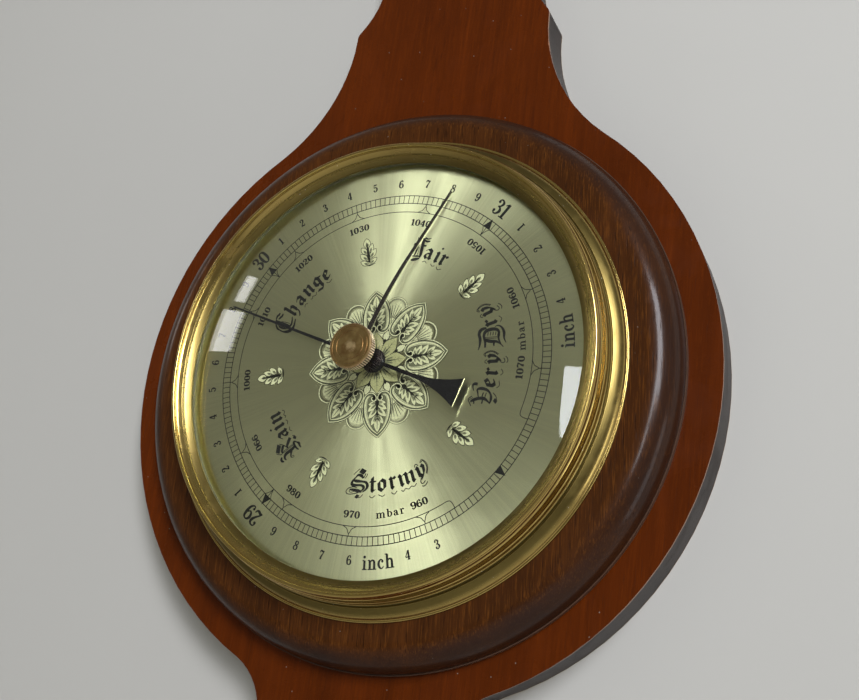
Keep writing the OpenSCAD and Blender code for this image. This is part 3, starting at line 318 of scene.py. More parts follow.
class Finish(Nodes):
    """A material with one Principled shader, whose plain sockets are set here."""

    def __init__(self, name, **plain):
        self.material = bpy.data.materials.new(name)
        self.material.use_nodes = True
        super().__init__(self.material.node_tree)
        self.shader = self.tree.nodes["Principled BSDF"]
        for key, value in plain.items():
            socket = self.shader.inputs[key.replace("_", " ")]
            socket.default_value = (*value, 1.0) if isinstance(value, tuple) else value
        self.where = self.add("ShaderNodeTexCoord")["Object"]

    def effect(self, name, **inputs):
        """Places a shared effect, on the piece's own coordinates unless told otherwise."""
        return self.add("ShaderNodeGroup", {"Vector": self.where, **inputs},
                        node_tree=EFFECTS[name])

    def feed(self, **sockets):
        for key, value in sockets.items():
            self.tree.links.new(value, self.shader.inputs[key.replace("_", " ")])

    def lay(self, mask, colour):
        """Lays a colour over the finish so far, as thick as the mask says."""
        so_far = self.shader.inputs["Base Color"].links[0].from_socket
        self.feed(Base_Color=self.mix(mask, so_far, colour))

    def bump(self, height, strength, distance):
        self.feed(Normal=self.add("ShaderNodeBump", {
            "Strength": strength, "Distance": distance, "Height": height})[0])

    def ragged(self, value, scale, detail, depth, rough=0.5):
        """The value with a little noise on it, so that an edge drawn from it is uneven."""
        return self.plus(value, self.times(self.noise(self.where, scale, detail, rough), depth))

    def steep(self, normal, low, high):
        """1 on sides that stand across the dial's plane, 0 on faces that look along y."""
        facing = self.parts(self.add("ShaderNodeNewGeometry")[normal])[1]
        return self.fall(self.maths("ABSOLUTE", facing), low, high)

    def see_through(self, mask, colour=(1.0, 1.0, 1.0)):
        """Lets light pass, tinted, where the mask says."""
        clear = self.add("ShaderNodeBsdfTransparent", {0: colour})[0]
        both = self.add("ShaderNodeMixShader", {0: mask, 1: self.shader.outputs[0], 2: clear})[0]
        self.tree.links.new(both, self.tree.nodes["Material Output"].inputs[0])


def wood(name, colour, tones, figure, gloss, relief, lean=0.0, coat=(0.055, 0.14, 0.11)):
    """Lacquered wood: figure and fibres along z, open pores, smudges in the gloss, a little dust.

    tones make the light, dark and pore colours from the one given; figure holds the grain's
    fineness and the shares of pores and pale streaks; lean turns the grain by so many degrees;
    coat holds the lacquer's weight and roughness and the wood's specular level.
    """
    light, dark, pore = (shade(colour, tone) for tone in tones)
    fineness, pores, streaks = figure
    f = Finish(name, Coat_Roughness=coat[1], Specular_IOR_Level=coat[2])
    place = f.add("ShaderNodeMapping", {0: f.where, 2: (0.0, math.radians(lean), 0.0)})[0]
    grain = f.effect("Wood figure", Vector=place, Light=light, Dark=dark, Pore=pore,
                     Fineness=fineness, Pores=pores, Streaks=streaks)
    smudge = f.effect("Handling", Size=55.0)["Smudge"]
    dust = f.effect("Dust", Spacing=900.0, Share=0.012)["Mask"]
    hollow = grain["Pore mask"]
    f.feed(Base_Color=f.mix(f.times(smudge, 0.08), grain["Colour"], light),
           Roughness=f.plus(f.ramp(smudge, 0.0, 1.0, gloss, gloss + 0.10), f.times(hollow, 0.25)),
           Coat_Weight=f.ramp(hollow, 0.0, 1.0, coat[0], 0.005))
    f.lay(f.times(dust, 0.6), (0.38, 0.35, 0.30))
    f.bump(grain["Height"], relief, 0.00025)
    return f


CHIP_PLACE = (0.0392, -0.0150, -0.2175)
KNOB_FLUTES = 60


def veneer(look):
    """Face veneer: straight grain up the neck, paler on its cut edge, and a worn chip at the
    neck's right edge."""
    f = wood("Veneer", look.veneer_red, (1.25, 0.66, 0.28), (1.0, 0.30, 0.10), 0.26, 0.06)
    far = f.length(f.stretched(f.vector("SUBTRACT", f.where, CHIP_PLACE), 1, 1, 0.42))
    f.lay(f.fall(f.ragged(far, 700.0, 2.0, 0.0012), 0.0022, 0.0026), (0.36, 0.16, 0.08))
    worn = f.ramp(f.noise(f.where, 34.0, 4.0), 0.36, 0.60, 0.10, 0.85)
    f.lay(f.times(f.steep("True Normal", 0.3, 0.7), worn), (0.46, 0.27, 0.17))
    return f


def board_edge(look):
    """Board edge: dark stain, long fibres, a thin pale line where the veneer is glued, and bare
    wood on the back."""
    f = wood("Board edge", look.edge_brown, (1.3, 0.7, 0.35), (0.9, 0.4, 0.15), 0.42, 0.16)
    depth = f.times(f.parts(f.where)[1], -1.0)
    line = f.band(f.ragged(depth, 260.0, 2.0, 0.0004), 0.01405, 0.01425, 0.0146, 0.0148)
    f.lay(f.times(line, 0.7), (0.26, 0.19, 0.13))
    bare = f.effect("Wood figure", Light=(0.36, 0.25, 0.155), Dark=(0.20, 0.125, 0.07),
                    Pore=(0.07, 0.04, 0.025), Fineness=0.8, Pores=0.6, Streaks=0.12)["Colour"]
    grime = f.ramp(f.noise(f.where, 26.0, 4.0), 0.5, 0.75, 0.0, 0.4)
    f.lay(f.fall(depth, 0.0001, 0.0008, 0.92), f.mix(grime, bare, (0.15, 0.10, 0.065)))
    return f


def ring_wood(look):
    """Turned ring: open grain with pale fibres, darker round its outer moulding, and a painted
    highlight, a paler ragged line, along its rim."""
    f = wood("Turned ring", look.ring_brown, (1.35, 0.55, 0.2), (1.0, 0.6, 0.42), 0.30, 0.22,
             lean=4.0, coat=(0.27, 0.155, 0.07))
    reach = f.effect("Turned lines", Fineness=1.0)["Reach"]
    # Darker round the outer moulding, from 82 to 87 mm out, by an uneven share.
    uneven = f.ramp(f.noise(f.where, 60.0, 4.0), 0.3, 0.7, 0.85, 0.5)
    f.lay(f.times(f.ramp(reach, 0.0822, 0.0872), uneven), (0.024, 0.0115, 0.0082))
    # Painted highlight: a paler ragged line round the ring's outer rim, for the light line along
    # that edge.
    rim = f.ramp(f.ragged(reach, 300.0, 3.0, 0.0003), 0.09020, 0.09045)
    f.lay(f.times(rim, 0.5), (0.16, 0.10, 0.07))
    return f


def bezel_brass(look):
    """Bezel: fine spinning lines, tarnish in the foot's groove, and painted shade: the brass
    darkened towards the glass on the inner lip and thinly on the flange, to dim their reflections."""
    f = Finish("Spun brass", Metallic=1.0)
    line = f.effect("Turned lines", Fineness=0.45)
    hand = f.effect("Handling", Size=140.0)
    dust = f.effect("Dust", Spacing=1100.0, Share=0.02)["Mask"]
    reach = line["Reach"]
    # Painted shade on the inner lip and on the flange; only the foot's groove holds tarnish.
    lip = f.times(f.fall(reach, 0.0655, 0.0695), 0.80)
    foot = f.times(f.band(reach, 0.0716, 0.0719, 0.0721, 0.0724), 0.9)
    flange = f.times(f.band(reach, 0.0721, 0.0726, 0.0738, 0.0756), 0.82)
    tarnish_and_shade = f.either(f.either(lip, foot), flange)
    patch = f.ramp(f.noise(f.where, 70.0, 5.0, 0.6), 0.50, 0.70, 0.0, 0.4)
    gloss = f.plus(f.ramp(hand["Smudge"], 0.0, 1.0, 0.14, 0.22), f.times(patch, 0.12))
    gloss = f.plus(gloss, f.times(tarnish_and_shade, 0.20))
    f.feed(Base_Color=f.mix(patch, tuple(look.brass), (0.42, 0.26, 0.085)),
           Roughness=f.plus(gloss, f.times(dust, 0.3)))
    # Painted shade: darker brass on the lip and the flange, and tarnish in the foot's groove, in
    # one colour.
    f.lay(tarnish_and_shade, (0.11, 0.085, 0.025))
    f.lay(f.times(dust, 0.7), (0.80, 0.76, 0.62))
    f.bump(f.plus(line["Line"], f.times(hand["Scratch"], -0.5)), 0.6, 0.000012)
    return f


def metal(name, colour, rough, relief, patina, share, fineness=1.0, depth=0.00002):
    """Metal with fine turned lines in its gloss and relief, and patina in patches."""
    f = Finish(name, Metallic=1.0)
    line = f.effect("Turned lines", Fineness=fineness)["Line"]
    hand = f.effect("Handling", Size=140.0)
    gloss = f.ramp(hand["Smudge"], 0.0, 1.0, rough, rough + 0.12)
    f.feed(Base_Color=f.mix(f.ramp(line, 0.3, 0.7, 0.0, 0.22), colour, shade(colour, 0.72)),
           Roughness=f.plus(gloss, f.times(hand["Scratch"], 0.15)))
    patch = f.ramp(f.noise(f.where, 320.0, 4.0, 0.65), 0.62 - share * 0.4, 0.72)
    f.lay(f.times(patch, 0.75), patina)
    f.bump(f.plus(line, f.times(hand["Scratch"], -0.6)), relief, depth)
    return f


def knob_brass():
    """Knob: brown patina on its turned top, bright where it is rubbed in the middle and round the
    rim, and painted highlight and shade in fine stripes round its side for the fluting."""
    f = metal("Aged brass", (0.46, 0.32, 0.125), 0.34, 0.12, (0.24, 0.115, 0.040), 0.75, 0.25)
    off = f.parts(f.from_dial(f.where))
    reach = f.effect("Turned lines", Fineness=1.0)["Reach"]
    flute = f.maths("COSINE", f.times(f.maths("ARCTAN2", off[2], off[0]), KNOB_FLUTES))
    rub = f.ramp(f.noise(f.where, 900.0, 3.0), 0.35, 0.65, 0.3, 1.0)
    f.lay(f.times(f.ramp(reach, 0.0064, 0.0069), rub), (0.84, 0.58, 0.36))
    middle = f.fall(f.ragged(reach, 420.0, 4.0, 0.0050, 0.7), 0.0028, 0.0046, 0.9)
    f.lay(middle, (0.96, 0.72, 0.38))
    # Painted highlight and shade of the fluting: bright and dark stripes round the side stand for
    # the flutes' relief.
    flute_light_and_shade = f.mix(f.ramp(flute, -0.5, 0.5), (0.16, 0.075, 0.05), (0.95, 0.78, 0.66))
    f.lay(f.steep("Normal", 0.45, 0.75), flute_light_and_shade)
    return f


def dial_metal(look):
    """Dial: rays brushed outwards from the centre under a clear lacquer."""
    f = Finish("Brushed dial", Metallic=1.0, Anisotropic=0.86, Coat_Weight=0.25,
               Coat_Roughness=0.035)
    rays = f.effect("Radial streaks", Fineness=1.0)
    film = f.times(f.effect("Handling", Size=45.0)["Smudge"], 0.03)
    f.feed(Base_Color=f.mix(f.ramp(rays["Streak"], 0.3, 0.7),
                            shade(look.dial, 0.94), shade(look.dial, 1.05)),
           Roughness=f.plus(f.ramp(rays["Broad"], 0.3, 0.7, 0.305, 0.37), film),
           Tangent=f.add("ShaderNodeTangent", direction_type="RADIAL", axis="Y")[0])
    f.lay(f.ramp(rays["Broad"], 0.35, 0.7, 0.0, 0.30), shade(look.dial, 0.84))
    f.bump(rays["Streak"], 0.05, 0.00002)
    return f


def paint(name, colour, rough, fleck, size=900.0, relief=0.1, coat=0.0):
    """Paint, card, rubber or ink: a fine fleck in its colour, gloss and relief."""
    f = Finish(name, Coat_Weight=coat, Coat_Roughness=0.08, Specular_IOR_Level=0.25)
    grit = f.noise(f.where, size, 3.0, 0.6)
    dust = f.effect("Dust", Spacing=size * 0.9, Share=fleck)["Mask"]
    f.feed(Base_Color=f.mix(f.ramp(grit, 0.3, 0.7), shade(colour, 0.82), shade(colour, 1.15)),
           Roughness=f.ramp(grit, 0.2, 0.8, rough - 0.06, rough + 0.08))
    f.lay(f.times(dust, 0.8), (0.62, 0.60, 0.50))
    f.bump(grit, relief, 0.00003)
    return f


def hand_paint(name, colour):
    """Hands: stamped from painted sheet, with bare metal on the cut edges."""
    f = paint(name, colour, 0.22, 0.008, 1500.0, 0.05, 0.3)
    cut = f.steep("True Normal", 0.25, 0.45)
    f.lay(cut, (0.62, 0.60, 0.52))
    f.feed(Metallic=cut)
    return f


def clear_glass():
    """Clear glass: lamps shine through it, and a faint film shows in its gloss."""
    f = Finish("Clear glass", Base_Color=(0.97, 0.985, 0.97), IOR=1.36, Transmission_Weight=1.0,
               Metallic=0.0)
    f.feed(Roughness=f.times(f.effect("Handling", Size=30.0)["Smudge"], 0.006))
    path = f.add("ShaderNodeLightPath")
    f.see_through(f.either(path["Is Shadow Ray"], path["Is Diffuse Ray"]), (0.96, 0.975, 0.96))
    return f


BLACK = (0.006, 0.006, 0.007)

# Metals by slot: name, colour, roughness, relief, patina, its share, fineness, depth of relief.
METALS = {
    "plain_brass": ("Plain brass", (0.62, 0.45, 0.19), 0.28, 0.25, (0.28, 0.17, 0.07), 0.25, 0.3,
                    0.00003),
    "steel": ("Plain steel", (0.46, 0.46, 0.45), 0.30, 0.25, (0.22, 0.18, 0.14), 0.15),
    "drum_steel": ("Zinc plated steel", (0.40, 0.41, 0.42), 0.42, 0.3, (0.55, 0.56, 0.57), 0.4,
                   0.2),
    "blued_steel": ("Blued steel", (0.06, 0.08, 0.17), 0.25, 0.2, (0.10, 0.07, 0.09), 0.2),
    "capsule_metal": ("Capsule metal", (0.55, 0.48, 0.30), 0.36, 0.3, (0.34, 0.27, 0.15), 0.2, 0.4),
}
# Paints by slot: name, colour, roughness, share of flecks, grit a metre, relief, lacquer.
PAINTS = {
    "gasket_rubber": ("Gasket", (0.14, 0.135, 0.09), 0.6, 0.30, 1400.0),
    "spacer_card": ("Pressed card", (0.075, 0.068, 0.055), 0.85, 0.02, 1600.0, 0.4),
    "boss_black": ("Black lacquer", BLACK, 0.16, 0.004, 1500.0, 0.03, 0.5),
    "petal_ink": ("Petal ink", (0.50, 0.49, 0.23), 0.42, 0.0, 2500.0),
    "shade_ink": ("Shading ink", (0.17, 0.175, 0.095), 0.45, 0.0, 2500.0),
    "deep_ink": ("Outline ink", (0.014, 0.014, 0.007), 0.45, 0.0, 2500.0),
    "red_liquid": ("Red liquid", (0.42, 0.012, 0.010), 0.12, 0.0, 900.0, 0.0, 0.8),
}


def make_finishes(look):
    """Makes every finish and keeps its material by the name of its slot."""
    make_effects()
    made = {make.__name__: make(look) for make in (veneer, board_edge, ring_wood, bezel_brass,
                                                   dial_metal)}
    made.update((slot, metal(*row)) for slot, row in METALS.items())
    made.update((slot, paint(*row)) for slot, row in PAINTS.items())
    made.update(aged_brass=knob_brass(), clear_glass=clear_glass(),
                hand_black=hand_paint("Black gloss paint", BLACK),
                dark_metal=hand_paint("Bronzed metal", (0.022, 0.017, 0.014)),
                ink=paint("Black ink", tuple(look.ink), 0.45, 0.0, 2500.0),
                pale_ink=paint("Pale ink", tuple(look.pale_ink), 0.42, 0.0, 2500.0))
    FINISHES.update((slot, finish.material) for slot, finish in made.items())


# ---------------------------------------------------------------- flat shapes

def polar(radius, turn):
    """Points at a radius and a clockwise angle in degrees from straight up."""
    a = np.radians(turn)
    return np.stack([radius * np.sin(a), radius * np.cos(a)], -1)


def spoke(start, end, turn):
    """The straight line between two radii at one clockwise angle."""
    return polar(np.array([start, end]), turn)


def spline(points, steps=6):
    """A smooth line through the rows of points: four neighbours are blended by cubic weights, so
    that the line passes through each of them."""
    p = np.asarray(points, float)
    p = np.concatenate([2 * p[:1] - p[1:2], p, 2 * p[-1:] - p[-2:-1]])
    t = (np.arange(steps) / steps)[None, :, None]
    a, b, c, d = (p[k:len(p) - 3 + k, None] for k in range(4))
    rows = 0.5 * (2 * b + (c - a) * t + (2 * a - 5 * b + 4 * c - d) * t**2
                  + (3 * b - a - 3 * c + d) * t**3)
    return np.concatenate([rows.reshape(-1, p.shape[1]), p[-2:-1]])


def strip(left, right):
    """Quads between two lines that have the same number of points."""
    n = len(left)
    k = np.arange(n - 1)
    return np.concatenate([left, right]), np.stack([k + n, k + n + 1, k + 1, k], 1)


def ribbon(line, width):
    """A strip centred on a line: each side is the line moved along its normal by half the width."""
    line = np.asarray(line, float)
    along = np.gradient(line, axis=0)
    along /= np.maximum(np.linalg.norm(along, axis=1, keepdims=True), 1e-9)
    half = np.broadcast_to(width, len(line)) / 2
    side = np.stack([-along[:, 1], along[:, 0]], 1) * half[:, None]
    return strip(line + side, line - side)


def stroke(points, steps=5, bold=0.0):
    """A ribbon through rows of (x, y, width), each made wider by the same amount."""
    p = spline(points, steps)
    return ribbon(p[:, :2], np.maximum(p[:, 2] + bold, 0.02))


def arc_band(r0, r1, a0, a1, step=2.0):
    """The ring sector between two radii and two clockwise angles."""
    turn = np.linspace(a0, a1, max(2, int(abs(a1 - a0) / step) + 1))
    return strip(polar(r0, turn), polar(r1, turn))


def pen(points, width, thin=0.2, lean=40.0):
    """A broad pen held at one angle: each straight move sweeps the pen's flat tip, a rectangle,
    into a six sided patch, the tip's outline at both ends joined by its two outer corners."""
    c, s = math.cos(math.radians(lean)), math.sin(math.radians(lean))
    tilt = np.array([[c, s], [-s, c]])
    p = np.asarray(points, float) @ tilt.T
    a, b = p[:-1], p[1:]
    d = b - a
    sign = np.where(d >= 0, 1.0, -1.0)
    half = np.array([width, thin]) / 2
    corner = [(-1, -1, 0), (1, -1, 0), (1, -1, 1), (1, 1, 1), (-1, 1, 1), (-1, 1, 0)]
    patch = np.stack([a + sign * half * (i, j) + d * k for i, j, k in corner], 1)
    return patch.reshape(-1, 2) @ tilt, np.arange(len(a) * 6).reshape(-1, 6)


def blob(outline):
    """One filled face inside a closed outline."""
    outline = np.asarray(outline, float)
    return outline, [list(range(len(outline)))]


def disc(x, y, r, steps=14):
    """A filled circle."""
    a = np.arange(steps) * 2 * np.pi / steps
    return blob(np.stack([x + r * np.cos(a), y + r * np.sin(a)], 1))


def mirrored(half):
    """A closed outline from its right half, listed from top to bottom."""
    half = np.asarray(half, float)
    return np.concatenate([half, (half * (-1, 1))[::-1]])


def leaflet(base, tip, width, teeth=0, steps=10):
    """A leaf between two points: half its width goes as the sine of the way along, fuller
    towards the base, and its edge may carry small teeth."""
    base, tip = np.asarray(base, float), np.asarray(tip, float)
    t = np.linspace(0, 1, teeth * 2 + 1 if teeth else steps)
    half = width * np.sin(np.pi * t**0.85) ** 0.75
    if teeth:
        half = half * np.where(np.arange(len(t)) % 2, 1.0, 0.80)
    along = tip - base
    side = np.array([-along[1], along[0]]) / max(np.linalg.norm(along), 1e-9)
    middle = base + along * t[:, None]
    right, left = middle - side * half[:, None], middle + side * half[:, None]
    return blob(np.concatenate([right, left[-2:0:-1]]))


class FlatPrint:
    """Gathers flat shapes in millimetres and turns them into one mesh that faces -y."""

    def __init__(self):
        self.points, self.faces, self.count = [], [], 0

    def put(self, shape, move=None):
        """Adds a shape, each face running anticlockwise as the viewer sees it."""
        points, faces = shape
        points = np.asarray(points, float)
        if move is not None:
            points = move(points)
        for face in faces:
            ring = points[face]
            after = np.roll(ring, -1, axis=0)
            area = (ring[:, 0] * after[:, 1] - ring[:, 1] * after[:, 0]).sum()
            order = face if area > 0 else face[::-1]
            if abs(area) > 1e-7:
                self.faces.append([int(k) + self.count for k in order])
        self.points.append(points)
        self.count += len(points)

    def finish(self, name, finish, height, lean=DIAL_LEAN, face=DIAL_FACE):
        """Turns the print by the dial's lean, lays it on its plate and makes the piece."""
        c, s = math.cos(math.radians(lean)), math.sin(math.radians(lean))
        flat = np.concatenate(self.points) @ np.array([[c, s], [-s, c]]) / 1000
        points = np.stack([flat[:, 0] + DIAL_X, np.full(len(flat), face - height),
                           flat[:, 1] + DIAL_Z], 1)
        return make_piece(name, points, self.faces, finish)


def make_piece(name, points, faces, finish):
    """Puts points and faces into a mesh at the origin that rides on the case."""
    mesh = bpy.data.meshes.new(name)
    mesh.from_pydata(np.asarray(points, float).tolist(), [], [list(f) for f in faces])
    mesh.validate()
    mesh.materials.append(FINISHES[finish])
    obj = bpy.data.objects.new(name, mesh)
    bpy.context.scene.collection.objects.link(obj)
    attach(obj, "case")
    return obj


# ---------------------------------------------------------------- letters

def serif(start, end):
    """The thin line under a letter's foot."""
    return [(start, 0.02, 0.045), (end, 0.02, 0.045)]


def upright(x, top):
    """An upright and the thin serif at its head."""
    head = [(x - 0.15, top - 0.01, 0.045), (x, top + 0.01, 0.045)]
    return [(x, 0.03, 0.14), (x, top, 0.14)], head


FOOT = serif(0.04, 0.4)
ARCH = [(0.22, 0.48, 0.05), (0.36, 0.62, 0.08), (0.51, 0.56, 0.12), (0.54, 0.4, 0.14),
        (0.54, 0.03, 0.14)]
SIX = [[(0.43, 0.84, 0.05), (0.4, 0.95, 0.05), (0.28, 0.965, 0.06), (0.12, 0.78, 0.12),
        (0.075, 0.45, 0.16), (0.12, 0.14, 0.13), (0.29, 0.03, 0.05), (0.45, 0.12, 0.12),
        (0.5, 0.3, 0.15), (0.43, 0.5, 0.11), (0.29, 0.57, 0.05), (0.15, 0.43, 0.05)]]
# Roman digits and letters on a height of 1: (width, strokes of (x, y, width) rows, dots of
# (x, y, r)).
ROMAN = {
    "0": (0.58,
          [[(0.29, 0.975, 0.05), (0.13, 0.83, 0.12), (0.085, 0.5, 0.16), (0.13, 0.17, 0.12),
            (0.29, 0.025, 0.05), (0.45, 0.17, 0.12), (0.495, 0.5, 0.16), (0.45, 0.83, 0.12),
            (0.29, 0.975, 0.05)]], []),
    "1": (0.46,
          [[(0.25, 0.03, 0.15), (0.25, 0.98, 0.15)], [(0.05, 0.8, 0.04), (0.25, 0.97, 0.07)],
           [(0.05, 0.02, 0.045), (0.45, 0.02, 0.045)]], []),
    "2": (0.58,
          [[(0.08, 0.76, 0.05), (0.14, 0.93, 0.06), (0.3, 0.975, 0.06), (0.46, 0.87, 0.13),
            (0.46, 0.68, 0.15), (0.32, 0.44, 0.1), (0.13, 0.2, 0.06), (0.05, 0.06, 0.05)],
           [(0.05, 0.08, 0.08), (0.2, 0.12, 0.13), (0.38, 0.06, 0.13), (0.5, 0.12, 0.07),
            (0.54, 0.26, 0.04)]], [(0.14, 0.75, 0.085)]),
    "3": (0.58,
          [[(0.09, 0.82, 0.05), (0.17, 0.95, 0.06), (0.31, 0.965, 0.07), (0.45, 0.8, 0.14),
            (0.36, 0.58, 0.08), (0.21, 0.53, 0.04)],
           [(0.21, 0.53, 0.04), (0.4, 0.47, 0.09), (0.49, 0.27, 0.16), (0.36, 0.06, 0.08),
            (0.2, 0.03, 0.06), (0.08, 0.15, 0.06)]], [(0.14, 0.8, 0.08), (0.13, 0.2, 0.085)]),
    "4": (0.58,
          [[(0.37, 0.98, 0.05), (0.03, 0.3, 0.05)], [(0.02, 0.27, 0.06), (0.56, 0.27, 0.06)],
           [(0.38, 0.03, 0.15), (0.38, 0.97, 0.15)], [(0.22, 0.02, 0.045), (0.54, 0.02, 0.045)]],
          []),
    "5": (0.58,
          [[(0.13, 0.92, 0.13), (0.3, 0.91, 0.12), (0.48, 0.96, 0.05)],
           [(0.12, 0.97, 0.04), (0.1, 0.5, 0.04)],
           [(0.1, 0.5, 0.04), (0.28, 0.61, 0.07), (0.46, 0.48, 0.13), (0.49, 0.28, 0.16),
            (0.38, 0.07, 0.09), (0.22, 0.03, 0.05), (0.08, 0.14, 0.05)]], [(0.13, 0.18, 0.085)]),
    "6": (0.58, SIX, [(0.41, 0.82, 0.075)]),
    "7": (0.56,
          [[(0.06, 0.74, 0.04), (0.08, 0.95, 0.07)],
           [(0.07, 0.92, 0.08), (0.2, 0.96, 0.14), (0.36, 0.9, 0.12), (0.51, 0.97, 0.05)],
           [(0.51, 0.97, 0.05), (0.38, 0.62, 0.08), (0.27, 0.3, 0.15), (0.25, 0.04, 0.17)]], []),
    "8": (0.58,
          [[(0.29, 0.975, 0.05), (0.15, 0.88, 0.11), (0.14, 0.66, 0.12), (0.29, 0.55, 0.09),
            (0.48, 0.38, 0.13), (0.47, 0.12, 0.1), (0.29, 0.025, 0.05), (0.1, 0.12, 0.12),
            (0.1, 0.38, 0.1), (0.29, 0.52, 0.05), (0.44, 0.66, 0.08), (0.43, 0.88, 0.09),
            (0.29, 0.975, 0.05)]], []),
    "9": (0.58, [[(0.58 - x, 1 - y, w) for x, y, w in SIX[0]]], [(0.17, 0.18, 0.075)]),
    "i": (0.38, [*upright(0.2, 0.63), FOOT], [(0.19, 0.86, 0.095)]),
    "n": (0.74, [*upright(0.2, 0.63), FOOT, ARCH, serif(0.4, 0.7)], []),
    "m": (1.08, [*upright(0.2, 0.63), FOOT, ARCH, serif(0.43, 0.68),
                 [(0.57, 0.48, 0.05), (0.7, 0.62, 0.08), (0.85, 0.56, 0.12), (0.88, 0.4, 0.14),
                  (0.88, 0.03, 0.14)], serif(0.76, 1.04)], []),
    "c": (0.52, [[(0.43, 0.52, 0.05), (0.36, 0.61, 0.05), (0.24, 0.62, 0.07), (0.11, 0.46, 0.14),
                  (0.11, 0.22, 0.14), (0.25, 0.04, 0.08), (0.38, 0.06, 0.05), (0.46, 0.18, 0.04)]],
          [(0.38, 0.5, 0.08)]),
    "h": (0.74, [*upright(0.2, 0.97), FOOT, ARCH, serif(0.4, 0.7)], []),
    "b": (0.66, [*upright(0.18, 0.97),
                 [(0.2, 0.5, 0.05), (0.36, 0.62, 0.07), (0.52, 0.46, 0.13), (0.52, 0.2, 0.13),
                  (0.36, 0.03, 0.07), (0.2, 0.12, 0.05)]], []),
    "a": (0.6, [[(0.1, 0.48, 0.05), (0.18, 0.61, 0.05), (0.32, 0.6, 0.1), (0.38, 0.42, 0.14),
                 (0.38, 0.12, 0.14), (0.46, 0.03, 0.07), (0.56, 0.08, 0.04)],
                [(0.38, 0.36, 0.05), (0.18, 0.3, 0.08), (0.1, 0.16, 0.13), (0.18, 0.04, 0.08),
                 (0.3, 0.06, 0.05), (0.38, 0.16, 0.05)]], [(0.14, 0.48, 0.075)]),
    "r": (0.52, [*upright(0.2, 0.63), FOOT,
                 [(0.22, 0.46, 0.05), (0.31, 0.6, 0.06), (0.44, 0.6, 0.07)]], [(0.42, 0.54, 0.08)]),
}


# Old style pen letters in millimetres, from the baseline and the letter's middle. "pen" rows
# are straight moves of a broad pen, "hair" rows thin smooth lines, both with their width.

def stem(x, top=3.5):
    """One upright with a diamond at its head and at its foot."""
    return ("pen", 1.0, [(x - 0.35, top), (x, top - 0.4), (x, 0.72), (x + 0.38, 0.3)])


